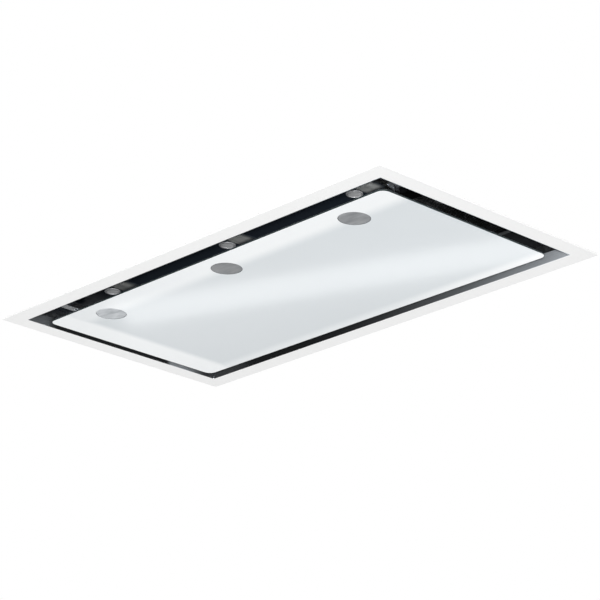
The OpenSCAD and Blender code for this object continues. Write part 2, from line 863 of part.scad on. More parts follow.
module motor_box() {
    color("lightsteelblue") difference() {
        union() {
            plate(plenum_h, box_h) square([box_l, box_w], center = true);
            for (s = [-1, 1]) {
                rib([s * box_l / 6, -box_w / 2 + rib_end], [s * box_l / 6, box_w / 2 - rib_end], box_top);
                rib([s * box_l / 3, -box_w / 2 + rib_end], [s * box_l / 3, box_w / 2 - rib_end], box_top);
            }
            plate(plenum_h, box_sheet) square([box_l + 2 * box_foot, box_w + 2 * box_foot], center = true);
        }
        plate(plenum_h - cut, box_h + cut - box_sheet)
            square([box_l - 2 * box_sheet, box_w - 2 * box_sheet], center = true);
        translate([collar_x, collar_y, collar_z]) rotate([90, 0, 0])
            cylinder(r = collar_in, h = wall_cut, center = true);
        for (p = box_screw_places) translate([p[0], p[1], plenum_h])
            cylinder(r = screw_r, h = wall_cut, center = true);
        for (p = collar_screw_places) translate([p[0], collar_y, p[1]]) rotate([90, 0, 0])
            cylinder(r = screw_r, h = wall_cut, center = true);
    }
}

module motor_box_screws() {
    color("gray") for (p = box_screw_places) translate([p[0], p[1], 0])
        screw_down(plenum_h + box_sheet, box_sheet + lid_t + screw_end);
}

// Plan of the scroll: a spiral that opens into the outlet
module scroll_plan(t) {
    polygon([for (a = [0:spiral_step:360]) (scroll_r0 + scroll_grow * a / 360 + t) * [cos(a), sin(a)]]);
    translate([throat_x0 - t, 0]) square([throat_w + 2 * t, duct_end]);
}

// Screw bosses outside the scroll's wall, as angles on the spiral
lug_angles = [60, 120, 180, 240, 300];
lug_places = [for (a = lug_angles) (scroll_r0 + scroll_grow * a / 360 + lug_off) * [cos(a), sin(a)]];

module scroll_base() {
    color("whitesmoke") translate([blower_x, blower_y, 0]) difference() {
        union() {
            difference() {
                plate(z_floor, scroll_wall) scroll_plan(scroll_wall);
                translate([0, 0, z_floor - cut]) cylinder(r = inlet_r + 0.5, h = scroll_wall + 2 * cut);
            }
            plate(z_room, scroll_h) difference() {
                scroll_plan(scroll_wall);
                scroll_plan(0);
                translate([throat_x0, 0]) square([throat_w, duct_end + cut]);
            }
            for (p = lug_places) translate([p[0], p[1], z_cover - lug_h]) cylinder(r = lug_r, h = lug_h);
            translate([0, 0, z_room]) rotate_extrude() bell_mouth();
        }
        for (p = lug_places) translate([p[0], p[1], z_cover - scroll_screw_l])
            cylinder(r = screw_r, h = scroll_screw_l + cut);
    }
}

// Section of the inlet's bell mouth, a quarter round below the scroll's floor
module bell_mouth() {
    reach = inlet_flare + scroll_wall;
    translate([inlet_r + inlet_flare + scroll_wall / 2, 0]) intersection() {
        difference() {
            circle(inlet_flare + scroll_wall / 2);
            circle(inlet_flare - scroll_wall / 2);
        }
        translate([-reach, -reach]) square([reach, reach]);
    }
}

module scroll_cover() {
    color("whitesmoke") translate([blower_x, blower_y, 0]) difference() {
        plate(z_cover, scroll_wall) {
            scroll_plan(scroll_wall);
            for (p = lug_places) translate(p) circle(lug_r);
        }
        for (p = concat(lug_places, base_screw_places)) translate([p[0], p[1], z_cover - cut])
            cylinder(r = screw_r, h = scroll_wall + 2 * cut);
    }
}

module scroll_screws() {
    color("gray") translate([blower_x, blower_y, 0])
        for (p = concat(lug_places, base_screw_places)) translate([p[0], p[1], 0])
            screw_down(z_cover + scroll_wall, scroll_wall + scroll_screw_l);
}

module rubber_feet() {
    color("black") for (x = [-1, 1], y = [-1, 1])
        translate([blower_x + x * foot_span_x, blower_y + y * foot_span_y, plenum_h])
            cylinder(r = foot_r, h = feet_h);
}

// Screws that hold the motor base under the scroll's cover
base_screw_places = [for (a = [0:120:240]) (base_r - base_screw_in) * [cos(a), sin(a)]];

module motor_base() {
    color("silver") translate([blower_x, blower_y, 0]) {
        difference() {
            translate([0, 0, z_cover - base_h]) cylinder(r = base_r, h = base_h);
            for (p = base_screw_places) translate([p[0], p[1], z_cover - scroll_screw_l])
                cylinder(r = screw_r, h = scroll_screw_l + cut);
        }
        translate([0, 0, z_cover - base_h - rotor_wall]) cylinder(r = shaft_r, h = rotor_wall + cut);
    }
}

module rotor_can() {
    color("dimgray") translate([blower_x, blower_y, z_rotor_top - rotor_wall]) difference() {
        cylinder(r = rotor_r, h = rotor_wall);
        translate([0, 0, rotor_floor]) cylinder(r = shaft_r + pin_fit, h = rotor_wall);
        for (a = [0:30:330]) rotate([0, 0, a]) translate([rotor_r - vent_in, 0, -cut])
            cylinder(r = vent_r, h = vent_h + cut);
    }
}

// Plan of one impeller blade, a curved strip between the two radii
function blade_point(i, side) =
    let (
        u = i / blade_steps,
        r = wheel_r - wheel_in + (wheel_in - blade_edge) * u,
        a = blade_arc * u * u,
        w = side * blade_t / 2
    )
    [r * cos(a) - w * sin(a + blade_lean), r * sin(a) + w * cos(a + blade_lean)];

module impeller() {
    blade = concat(
        [for (i = [0:blade_steps]) blade_point(i, -1)],
        [for (i = [blade_steps:-1:0]) blade_point(i, 1)]
    );
    z_top = z_wheel + wheel_h;
    z_hub = min(z_top, z_rotor_top) - hub_t;
    color("ivory") translate([blower_x, blower_y, 0]) {
        tube(wheel_r, wheel_r - wheel_in, z_wheel, ring_h);
        tube(wheel_r, rotor_r, z_hub, hub_t);
        tube(rotor_r + hub_ring_t, rotor_r, z_hub - hub_ring_h, hub_ring_h);
        for (k = [0:blade_n - 1]) rotate([0, 0, k * 360 / blade_n])
            plate(z_wheel + ring_h, z_hub - z_wheel - ring_h) polygon(blade);
    }
}

// Screws round the collar's flange, as x and z
collar_screw_r = collar_r + collar_screw_off;
collar_screw_places = [for (a = [0:90:270])
    [collar_x + collar_screw_r * cos(a), collar_z + collar_screw_r * sin(a)]];

module duct_collar() {
    color("dimgray") difference() {
        translate([collar_x, collar_y, collar_z]) rotate([-90, 0, 0]) {
            tube(collar_flange_r, collar_in, 0, collar_flange_t);
            tube(collar_r, collar_in, 0, collar_l);
            tube(collar_in + collar_wall / 2, collar_in - seat_w, seat_y, seat_t);
        }
        for (p = collar_screw_places) translate([p[0], collar_y, p[1]]) rotate([90, 0, 0])
            cylinder(r = screw_r, h = wall_cut, center = true);
        translate([collar_x, flap_y, collar_z]) cylinder(r = flap_pin_r, h = 4 * collar_r, center = true);
    }
}

module collar_screws() {
    color("gray") for (p = collar_screw_places)
        translate([p[0], collar_y + collar_flange_t, p[1]]) rotate([-90, 0, 0]) {
            cylinder(r = screw_head_r, h = screw_head_h);
            translate([0, 0, -collar_screw_l]) cylinder(r = screw_r, h = collar_screw_l);
        }
}

module flap_pin() {
    color("silver") translate([collar_x, flap_y, collar_z])
        cylinder(r = flap_pin_r, h = 2 * (collar_r - flat_gap), center = true);
}

module flap_springs() {
    color("silver") translate([collar_x, flap_y, collar_z]) for (s = [-1, 1])
        tube(flap_pin_r + 1, flap_pin_r, s > 0 ? spring_z0 : -spring_z0 - spring_l, spring_l);
}

// One half flap, on the side where x has the sign of side, with knuckles on the pin
module flap(side) {
    rows = side < 0 ? [0, 2] : [1, 3];
    color("gainsboro") translate([collar_x, flap_y, collar_z]) difference() {
        union() {
            translate([0, -flap_off, 0]) rotate([90, 0, 0]) linear_extrude(flap_t) intersection() {
                circle(flap_r, $fn = 96);
                translate([side > 0 ? flap_slit : -flap_slit - flap_r, -flap_r])
                    square([flap_r, 2 * flap_r]);
            }
            for (k = rows) translate([0, 0, knuckle_z0 + k * knuckle_step]) {
                cylinder(r = knuckle_r, h = knuckle_l);
                translate([side > 0 ? flap_slit : -flap_slit - knuckle_web, -flap_off - flap_t / 2, 0])
                    cube([knuckle_web, knuckle_web_t, knuckle_l]);
            }
        }
        translate([0, 0, -flap_r]) cylinder(r = flap_pin_r + pin_fit, h = 2 * flap_r);
    }
}

module flap_left() flap(-1);

module flap_right() flap(1);

// Screws that hold the control box on the lid
control_screw_places = [for (x = [-1, 1], y = [-1, 1])
    [control_x + x * (case_l / 2 - control_screw_in), control_y + y * (case_w / 2 - control_screw_in)]];

module control_box() {
    in_l = case_l - 2 * control_wall;
    in_w = case_w - 2 * control_wall;
    color("gray") difference() {
        translate([control_x, control_y, plenum_h]) difference() {
            linear_extrude(case_h) square([case_l, case_w], center = true);
            translate([0, 0, control_wall]) linear_extrude(case_h) square([in_l, in_w], center = true);
            translate([case_l / 2, 0, case_h / 2]) rotate([0, 90, 0])
                cylinder(r = gland_neck_r, h = wall_cut, center = true);
        }
        for (p = control_screw_places) translate([p[0], p[1], plenum_h])
            cylinder(r = screw_r, h = wall_cut, center = true);
    }
}

// Tube for the motor's lead, from the motor box to the control box
module lead_conduit() {
    color("black") translate([box_l / 2, control_y, plenum_h + case_h / 2]) rotate([0, 90, 0]) {
        tube(conduit_r, conduit_in, 0, conduit_run);
        tube(conduit_nut_r, conduit_in, 0, conduit_nut_h);
        tube(conduit_nut_r, conduit_in, conduit_run - conduit_nut_h, conduit_nut_h);
    }
}

module control_screws() {
    color("gray") for (p = control_screw_places) translate([p[0], p[1], 0])
        screw_down(plenum_h + control_wall, control_wall + lid_t + screw_end);
}

module control_board() {
    z_board = standoff_h + board_t;
    color("green") translate([control_x, control_y, plenum_h + control_wall]) {
        for (x = [-1, 1], y = [-1, 1])
            translate([x * (case_l / 2 - standoff_in), y * (case_w / 2 - standoff_in), 0])
                cylinder(r = standoff_r, h = standoff_h + board_t / 2);
        translate([0, 0, standoff_h]) linear_extrude(board_t)
            square([case_l - 2 * board_edge, case_w - 2 * board_edge], center = true);
        translate([-case_l / 4, case_w / 8, z_board]) cylinder(r = capacitor_r, h = capacitor_h);
        translate([0, -case_w / 6, z_board]) linear_extrude(coil_h) square([coil_l, coil_w], center = true);
        translate([case_l / 4, case_w / 8, z_board]) linear_extrude(relay_h)
            square([relay_l, relay_w], center = true);
    }
}

module control_lid() {
    skirt_l = case_l - 2 * control_wall - 2 * flat_gap;
    skirt_w = case_w - 2 * control_wall - 2 * flat_gap;
    color("darkgray") translate([control_x, control_y, plenum_h + case_h]) {
        linear_extrude(lid_h) square([case_l, case_w], center = true);
        translate([0, 0, -skirt_h]) linear_extrude(skirt_h)
            ring2d(skirt_l, skirt_w, 0, skirt_l - 2 * skirt_t, skirt_w - 2 * skirt_t);
    }
}

module cable_gland() {
    gland_back = control_wall + gland_in;
    color("black") translate([control_x + case_l / 2, control_y, plenum_h + case_h / 2])
        rotate([0, 90, 0]) difference() {
            union() {
                cylinder(r = gland_r + 2, h = gland_hex_h, $fn = 6);
                translate([0, 0, -gland_back]) cylinder(r = gland_neck_r, h = gland_back + cut);
                cylinder(r = gland_r, h = gland_l);
            }
            translate([0, 0, -gland_back - cut]) cylinder(r = cable_r, h = gland_back + gland_l + 2 * cut);
        }
}

module glass_panel() {
    color("white") difference() {
        plate(z_face, glass_t) rrect(panel_l, panel_w, panel_corner_r);
        at_lamps() translate([0, 0, z_face - cut]) cylinder(r = window_r + round_gap, h = glass_t + 2 * cut);
    }
}

module panel_tray() {
    in_l = tray_l - 2 * tray_sheet;
    in_w = tray_w - 2 * tray_sheet;
    notch_x = striker_w + 2 * striker_side;
    notch_y = striker_l + 2 * striker_t + 2 * striker_side;
    color("black") difference() {
        union() {
            plate(z_glass, tray_sheet) rrect(tray_l, tray_w, tray_corner_r);
            plate(z_glass, tray_h) difference() {
                rrect(tray_l, tray_w, tray_corner_r);
                rrect(in_l, in_w, tray_corner_r - tray_sheet);
            }
            plate(z_rim - tray_sheet, tray_sheet) difference() {
                rrect(tray_l, tray_w, tray_corner_r);
                rrect(tray_l - 2 * hem_in, tray_w - 2 * hem_in, tray_corner_r - hem_in);
            }
        }
        at_lamps() translate([0, 0, z_glass - cut])
            cylinder(r = window_r + lens_lip + round_gap, h = tray_sheet + 2 * cut);
        for (s = [-1, 1]) intersection() {
            translate([s * catch_x - notch_x / 2, -catch_y - notch_y / 2, z_rim - tray_sheet - cut])
                cube([notch_x, notch_y, tray_sheet + 2 * cut]);
            plate(z_rim - tray_sheet - cut, tray_sheet + 2 * cut) square([in_l, in_w], center = true);
        }
    }
}

module panel_stiffeners() {
    run = tray_w - 2 * tray_sheet - 2 * flat_gap;
    in_x = stiff_top / 2;
    out_x = in_x + stiff_t;
    end_x = stiff_w / 2;
    profile = [
        [-end_x, 0], [-in_x, 0], [-in_x, stiff_h - stiff_t], [in_x, stiff_h - stiff_t], [in_x, 0],
        [end_x, 0], [end_x, stiff_t], [out_x, stiff_t], [out_x, stiff_h], [-out_x, stiff_h],
        [-out_x, stiff_t], [-end_x, stiff_t]
    ];
    color("dimgray") for (s = [-1, 1]) translate([s * stiff_x, run / 2, z_tray]) rotate([90, 0, 0])
        linear_extrude(run) polygon(profile);
}

module window_lenses() {
    color("lightgray") at_lamps() {
        translate([0, 0, z_face + lens_recess_p]) cylinder(r = window_r, h = glass_t - lens_recess_p);
        translate([0, 0, z_glass]) cylinder(r = window_r + lens_lip, h = tray_sheet);
    }
}

// Clamp rings with one flat side, beside the tray's wall
module window_rings() {
    out_r = window_r + ring_out;
    flat_y = tray_w / 2 - tray_sheet - flat_gap - lamp_y;
    color("gray") at_lamps() plate(z_tray, ring_t) difference() {
        intersection() {
            circle(out_r);
            translate([-out_r, -flat_y]) square([2 * out_r, out_r + flat_y]);
        }
        circle(window_r - ring_in);
    }
}

module hinge_leaves() {
    wall_y = tray_w / 2;
    leaf_x = ear_gap / 2 - leaf_side - leaf_t;
    color("gainsboro") for (s = [-1, 1]) translate([s * hinge_x, 0, 0]) difference() {
        union() {
            translate([-hinge_base_l / 2, wall_y, z_tray]) cube([hinge_base_l, leaf_t, leaf_h]);
            for (e = [-1, 1]) translate([e > 0 ? leaf_x : -leaf_x - leaf_t, 0, 0]) {
                translate([0, wall_y, z_tray]) cube([leaf_t, ear_r + 1, hinge_z - z_tray]);
                translate([0, hinge_y, hinge_z]) rotate([0, 90, 0]) cylinder(r = ear_r, h = leaf_t);
            }
        }
        translate([0, hinge_y, hinge_z]) rotate([0, 90, 0])
            cylinder(r = hinge_pin_r + pin_fit, h = hinge_base_l, center = true);
    }
}

module striker_plates() {
    top = z_bar - flat_gap;
    z_in = top - striker_t;
    z_step = z_tray + striker_t;
    in_x = striker_l / 2;
    out_x = in_x + striker_t;
    end_x = in_x + striker_foot;
    profile = [
        [-end_x, z_tray], [-in_x, z_tray], [-in_x, z_in], [in_x, z_in], [in_x, z_tray], [end_x, z_tray],
        [end_x, z_step], [out_x, z_step], [out_x, top], [-out_x, top], [-out_x, z_step], [-end_x, z_step]
    ];
    color("silver") for (s = [-1, 1]) translate([s * catch_x - striker_w / 2, -catch_y, 0])
        rotate([90, 0, 90]) linear_extrude(striker_w) polygon(profile);
}

flange_frame();
ceiling_gasket();
recess_liner();
flange_nuts();
housing_shell();
housing_top();
lid_strips();
housing_screws();
hanging_brackets();
hanging_screws();
plenum_plate();
plenum_rivets();
filter_crossbars();
filter_frame(-1);  // filter_frame_left
filter_frame(0);  // filter_frame_centre
filter_frame(1);  // filter_frame_right
filter_mesh(-1);  // filter_mesh_left
filter_mesh(0);  // filter_mesh_centre
filter_mesh(1);  // filter_mesh_right
filter_latch(-1);  // filter_latch_left
filter_latch(0);  // filter_latch_centre
filter_latch(1);  // filter_latch_right
lamp_bezels();
lamp_lenses();
lamp_cans();
lead_covers();
catch_brackets();
catch_blocks();
catch_magnets();
catch_screws();
hinge_brackets();
hinge_pins();
motor_box();
motor_box_screws();
scroll_base();
scroll_cover();
scroll_screws();
rubber_feet();
motor_base();
rotor_can();
impeller();
duct_collar();
collar_screws();
flap_pin();
flap_springs();
flap_left();
flap_right();
control_box();
control_screws();
control_board();
control_lid();
cable_gland();
lead_conduit();
glass_panel();
panel_tray();
panel_stiffeners();
window_lenses();
window_rings();
hinge_leaves();
striker_plates();
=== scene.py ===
# %% [markdown]
# # A ceiling hood, dressed on its frame
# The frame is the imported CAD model: a white flange under the ceiling, a polished recess, a hinged glass
# panel, and above the ceiling a galvanised housing with the blower. Blender adds what a CAD solid lacks:
# rounded edges, turned and pressed detail, and the finish of each material. The frame itself never moves.

import json
import math
import random

import bmesh
import bpy
from mathutils import Matrix, Vector


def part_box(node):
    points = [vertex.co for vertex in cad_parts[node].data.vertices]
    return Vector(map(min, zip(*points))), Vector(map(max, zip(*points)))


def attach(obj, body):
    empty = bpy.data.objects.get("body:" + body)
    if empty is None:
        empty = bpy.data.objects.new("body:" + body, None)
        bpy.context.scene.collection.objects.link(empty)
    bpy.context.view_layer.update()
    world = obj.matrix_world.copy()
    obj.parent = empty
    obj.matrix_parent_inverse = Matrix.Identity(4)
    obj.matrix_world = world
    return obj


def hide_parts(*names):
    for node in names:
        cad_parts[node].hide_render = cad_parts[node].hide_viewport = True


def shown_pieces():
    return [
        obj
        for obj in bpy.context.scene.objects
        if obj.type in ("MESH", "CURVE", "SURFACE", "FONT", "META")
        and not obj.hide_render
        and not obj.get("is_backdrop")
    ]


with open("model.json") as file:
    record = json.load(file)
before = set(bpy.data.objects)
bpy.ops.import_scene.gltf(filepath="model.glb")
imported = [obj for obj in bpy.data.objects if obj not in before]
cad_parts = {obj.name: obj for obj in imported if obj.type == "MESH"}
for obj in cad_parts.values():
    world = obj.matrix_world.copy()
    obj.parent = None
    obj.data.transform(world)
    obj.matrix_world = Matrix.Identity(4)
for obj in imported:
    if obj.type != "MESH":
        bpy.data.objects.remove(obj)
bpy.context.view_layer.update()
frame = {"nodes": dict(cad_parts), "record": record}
mm = 0.001

# %% [markdown]
# ## Camera and studio
# The hood is photographed from below, so the camera stands lower than the ceiling and looks up. Its place
# was worked out once from the corners of the flange and of the opening, whose real sizes are known.
# A long lens is used, because the sides of the flange hardly converge in the photograph.

# %% Camera
CAMERA_PLACE = Vector((3.667, -3.302, -1.930))
CAMERA_RIGHT = Vector((0.6792, 0.7336, 0.0225))
CAMERA_UP = Vector((0.2497, -0.2598, 0.9328))
CAMERA_BACK = CAMERA_RIGHT.cross(CAMERA_UP)
LENS = 148.57

scene = bpy.context.scene
lens = bpy.data.cameras.new("camera")
lens.sensor_width = 36
lens.lens = LENS
lens.clip_start = 0.1
lens.clip_end = 200
camera = bpy.data.objects.new("camera", lens)
scene.collection.objects.link(camera)
axes = Matrix((CAMERA_RIGHT, CAMERA_UP, CAMERA_BACK)).transposed().to_4x4()
camera.matrix_world = Matrix.Translation(CAMERA_PLACE) @ axes
scene.camera = camera
scene.view_settings.view_transform = "Standard"
print("camera at", [round(v, 3) for v in camera.location])

# %% [markdown]
# The photograph has a pure white background, so the world is white to the camera. As a source of light it
# is a soft gradient, bright overhead and dimmer at the horizon, which gives bare metal something to show.
# One helper adds the nodes here and in every material. It finds the tree from any socket or node in it.

# %% World
BACKDROP = 1.0
HORIZON_LIGHT = 0.55
ZENITH_LIGHT = 1.15


def wire(owner, kind, inputs=None, **settings):
    """Add a node. An input that is given a socket is linked to it, and any other is set."""
    tree = owner.id_data
    node = tree.nodes.new("ShaderNode" + kind)
    for key, value in settings.items():
        setattr(node, key, value)
    for key, value in (inputs or {}).items():
        if isinstance(value, bpy.types.NodeSocket):
            tree.links.new(value, node.inputs[key])
        else:
            node.inputs[key].default_value = value
    return node


world = bpy.data.worlds.new("studio")
world.use_nodes = True
sky = world.node_tree
sky.nodes.clear()
upward = wire(sky, "SeparateXYZ", {"Vector": wire(sky, "TexCoord").outputs["Generated"]}).outputs["Z"]
level = wire(sky, "MapRange", {"Value": upward, "To Min": HORIZON_LIGHT, "To Max": ZENITH_LIGHT}).outputs[0]
seen = wire(sky, "LightPath").outputs["Is Camera Ray"]
strength = wire(sky, "Mix", {0: seen, 2: level, 3: BACKDROP}).outputs[0]
wire(sky, "OutputWorld", {0: wire(sky, "Background", {"Strength": strength}).outputs[0]})
scene.world = world
print("world is set")

# %% [markdown]
# One soft box fills the underside from below. A long narrow one lies near the floor, where the glass panel
# mirrors it to the camera as the broad soft band that crosses the panel in the photograph. A strong one
# stands in line with the camera, so that it reaches just what the camera sees inside the dark slots. It is
# close to the floor, which light linking leaves out. The others hang above, for the housing: a soft key and
# two strips, which bare sheet mirrors as slow gradients that bring out its ribs and folds.

# %% Soft boxes
def soft_box(name, place, size, power, target, along=(1, 0, 0)):
    """A rectangle of light whose longer side lies along a direction."""
    data = bpy.data.lights.new(name, "AREA")
    data.shape = "RECTANGLE"
    data.size, data.size_y = size
    data.energy = power
    lamp = bpy.data.objects.new(name, data)
    scene.collection.objects.link(lamp)
    back = (Vector(place) - Vector(target)).normalized()
    across = back.cross(Vector(along)).normalized()
    axes = Matrix((across.cross(back), across, back)).transposed().to_4x4()
    lamp.matrix_world = Matrix.Translation(place) @ axes
    lamp.visible_camera = False
    print(name, "of", power, "W")
    return lamp


BAND_MIDDLE = Vector((-4.25, 4.18, -2.4))
BAND_ANGLE = math.radians(20)
BAND_ALONG = (math.cos(BAND_ANGLE), math.sin(BAND_ANGLE), 0)

soft_box("fill_below", (-1.0, 0.4, -2.2), (3.6, 3.6), 12, (-1.0, 0.4, 0), BAND_ALONG)
soft_box("band_below", BAND_MIDDLE, (2.5, 0.30), 4.4, BAND_MIDDLE + Vector((0, 0, 1)), BAND_ALONG)
slot_light = soft_box("camera_side", (4.45, -4.1, -2.3), (0.9, 0.9), 430, (0, 0, 0))
soft_box("key_above", (-2.4, -3.0, 3.6), (2.2, 2.2), 60, (0, 0, 0.1))
strip_back = soft_box("strip_back", (-2.7, 2.5, 1.45), (2.6, 0.45), 15, (0, 0, 0.1), (1, 1, 0))
strip_front = soft_box("strip_front", (2.5, -2.7, 0.95), (2.6, 0.45), 14, (0, 0, 0.1), (1, 1, 0))

# %% [markdown]
# ## Floor and ceiling
# A plain pale floor lies as far below the ceiling as in a real room. The glass mirrors it, and it throws
# soft light up on the white flange.

# %% Floor
ROOM_HEIGHT = 2.45
FLOOR_HALF = 120


def backdrop(name, shape):
    mesh = bpy.data.meshes.new(name)
    shape.to_mesh(mesh)
    shape.free()
    made = bpy.data.objects.new(name, mesh)
    scene.collection.objects.link(made)
    mesh.materials.append(bpy.data.materials.new(name))
    mesh.materials[0].use_nodes = True
    made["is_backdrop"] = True
    return made, mesh.materials[0].node_tree


ground = bmesh.new()
bmesh.ops.create_grid(ground, x_segments=8, y_segments=8, size=FLOOR_HALF)
bmesh.ops.translate(ground, verts=ground.verts, vec=(0, 0, -ROOM_HEIGHT))
floor, tree = backdrop("floor", ground)
floor_shader = tree.nodes["Principled BSDF"]
floor_shader.inputs["Base Color"].default_value = (0.82, 0.82, 0.82, 1)
floor_shader.inputs["Roughness"].default_value = 0.7
left_out = bpy.data.collections.new("left_out_of_near_lights")
left_out.objects.link(floor)
left_out.collection_objects[0].light_linking.link_state = "EXCLUDE"
for lamp in (slot_light, strip_back, strip_front):
    lamp.light_linking.receiver_collection = left_out
print("floor at", -ROOM_HEIGHT)

# %% [markdown]
# The hood is let into a white ceiling, which hides its housing from below. The ceiling here is a plain
# backdrop with the cut-out of the real one. It is white on its lower side and clear from above, so that
# the housing can still be looked at, and it neither gives nor stops any light.

# %% Ceiling backdrop
CUT_OUT = (1.155, 0.585)
CEILING_HALF = 6

sheet = bmesh.new()
bmesh.ops.create_grid(sheet, x_segments=1, y_segments=1, size=CEILING_HALF)
for axis, length in ((Vector((1, 0, 0)), CUT_OUT[0]), (Vector((0, 1, 0)), CUT_OUT[1])):
    for side in (-1, 1):
        bmesh.ops.bisect_plane(sheet, geom=sheet.verts[:] + sheet.edges[:] + sheet.faces[:],
                               plane_co=axis * side * length / 2, plane_no=axis)
hole = [face for face in sheet.faces if face.calc_center_median().length < 0.01]
bmesh.ops.delete(sheet, geom=hole, context="FACES")
ceiling, tree = backdrop("ceiling", sheet)
tree.nodes.clear()
lower = wire(tree, "NewGeometry").outputs["Backfacing"]
clear = wire(tree, "BsdfTransparent").outputs[0]
white = wire(tree, "Emission", {"Strength": BACKDROP}).outputs[0]
wire(tree, "OutputMaterial", {0: wire(tree, "MixShader", {0: lower, 1: clear, 2: white}).outputs[0]})
for ray in ("diffuse", "glossy", "transmission", "shadow"):
    setattr(ceiling, "visible_" + ray, False)
print("ceiling with a cut-out of", CUT_OUT)

# %% [markdown]
# ## Helpers for pieces
# Each piece is a bmesh that becomes an object at the origin, with its place in its mesh. It rides on the
# body whose CAD node it stands for, and takes its finish from that node's slot in the record.

# %% Put a piece in the scene
slot_of = {row["node"]: row["material_slot"] for row in frame["record"]["subparts"]}
body_of = {node: body for body, nodes in frame["record"]["behaviour"]["bodies"].items() for node in nodes}
finishes = {}
SMOOTH_ANGLE = 32


def put(name, shape, node, slot=None, smooth=SMOOTH_ANGLE, stands_for=True):
    """A piece rides with a CAD node. It takes the node's place unless it is only added to it."""
    mesh = bpy.data.meshes.new(name)
    shape.to_mesh(mesh)
    shape.free()
    mesh.polygons.foreach_set("use_smooth", [True] * len(mesh.polygons))
    mesh.set_sharp_from_angle(angle=math.radians(smooth))
    piece = bpy.data.objects.new(name, mesh)
    scene.collection.objects.link(piece)
    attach(piece, body_of[node])
    if stands_for:
        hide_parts(node)
    piece["finish"] = slot or slot_of[node]
    print(name, "has", len(mesh.polygons), "faces")
    return piece


# %% [markdown]
# A folded or moulded edge is never quite sharp. A copy of a CAD node is merged, its flat faces are joined
# again, and a Bevel modifier rounds its edges, which gives each edge its thin line of light.

# %% Round the edges of a CAD shape
MERGE = 0.004 * mm
FLAT_ANGLE = math.radians(0.5)
EDGE_ANGLE = math.radians(40)


def merged_copy(node):
    shape = bmesh.new()
    shape.from_mesh(frame["nodes"][node].data)
    bmesh.ops.remove_doubles(shape, verts=shape.verts, dist=MERGE)
    return shape


def soften(piece, width, segments=2):
    bevel = piece.modifiers.new("edges", "BEVEL")
    bevel.width = width * mm
    bevel.segments = segments
    bevel.limit_method = "ANGLE"
    bevel.angle_limit = EDGE_ANGLE
    bevel.use_clamp_overlap = False
    bevel.harden_normals = True


def rounded(node, width, segments):
    shape = merged_copy(node)
    bmesh.ops.dissolve_limit(shape, angle_limit=FLAT_ANGLE, verts=shape.verts, edges=shape.edges)
    soften(put(node + "_rounded", shape, node), width, segments)


# %% [markdown]
# Turned pieces start from half a section. Spin carries it round once, and use_merge closes the last step
# onto the first. The section is given in millimetres as radius and height.

# %% Turn a section
TINY = 0.001 * mm
AS_IT_IS = [Matrix.Identity(4)]


def turned(section, steps=64):
    shape = bmesh.new()
    points = [shape.verts.new((r * mm, 0, z * mm)) for r, z in section]
    edges = [shape.edges.new(pair) for pair in zip(points, points[1:] + points[:1])]
    bmesh.ops.spin(shape, geom=points + edges, cent=(0, 0, 0), axis=(0, 0, 1), angle=math.tau,
                   steps=steps, use_merge=True)
    bmesh.ops.remove_doubles(shape, verts=shape.verts, dist=TINY)
    bmesh.ops.dissolve_degenerate(shape, edges=shape.edges, dist=TINY)
    bmesh.ops.recalc_face_normals(shape, faces=shape.faces)
    return shape


def rod(radius, bottom, top, steps=64):
    return turned([(0, bottom), (radius, bottom), (radius, top), (0, top)], steps)


def arc(centre, radius, start, end, steps=5):
    angles = [math.radians(start + (end - start) * i / steps) for i in range(steps + 1)]
    return [(centre[0] + radius * math.cos(a), centre[1] + radius * math.sin(a)) for a in angles]


def gather(parts):
    """One bmesh that holds copies of several, each with its own matrix."""
    whole = bmesh.new()
    for part, places in parts:
        mesh = bpy.data.meshes.new("part")
        part.to_mesh(mesh)
        for place in places:
            count = len(whole.verts)
            whole.from_mesh(mesh)
            whole.verts.ensure_lookup_table()
            bmesh.ops.transform(whole, matrix=place, verts=whole.verts[count:])
        bpy.data.meshes.remove(mesh)
        part.free()
    return whole


# %% [markdown]
# Small repeated solids, such as screws, share one CAD node. Its islands tell where each one is, so the
# detailed screw lands on the plain one whatever the sizes in the source are.

# %% Find the separate solids of a node
def islands(node):
    """The points of each separate solid, in a fixed order."""
    shape = merged_copy(node)
    left, found = set(shape.verts), []
    while left:
        first = min(left, key=lambda v: v.index)
        group, rim = {first}, [first]
        while rim:
            for edge in rim.pop().link_edges:
                for v in edge.verts:
                    if v not in group:
                        group.add(v)
                        rim.append(v)
        left -= group
        found.append([v.co.copy() for v in group])
    shape.free()
    return sorted(found, key=lambda points: tuple(round(c, 5) for c in box_of(points)[0]))


def box_of(points):
    low = Vector([min(p[i] for p in points) for i in range(3)])
    high = Vector([max(p[i] for p in points) for i in range(3)])
    return low, high


def middle(points):
    low, high = box_of(points)
    return (low + high) / 2


def levels(node):
    """The lowest and the highest level of a node, in millimetres."""
    low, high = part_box(node)
    return low.z / mm, high.z / mm


lamp_places = [Matrix.Translation((middle(p).x, middle(p).y, 0)) for p in islands("lamp_lenses")]
print("lamps at", [[round(c / mm, 1) for c in place.translation] for place in lamp_places])

# %% [markdown]
# A cut is made with a Boolean modifier on a passing object, which is read back as a plain mesh. The plain
# shapes to start from are a block, with its upright edges rounded or not, and a hexagon.

# %% Cut one shape with another
def carved(shape, cutter):
    passing = []
    for part in (shape, cutter):
        mesh = bpy.data.meshes.new("passing")
        part.to_mesh(mesh)
        part.free()
        passing.append(bpy.data.objects.new("passing", mesh))
        scene.collection.objects.link(passing[-1])
    cut = passing[0].modifiers.new("cut", "BOOLEAN")
    cut.object = passing[1]
    cut.solver = "EXACT"
    bpy.context.view_layer.update()
    result = bmesh.new()
    result.from_object(passing[0], bpy.context.evaluated_depsgraph_get())
    for each in passing:
        bpy.data.meshes.remove(each.data)
    return result


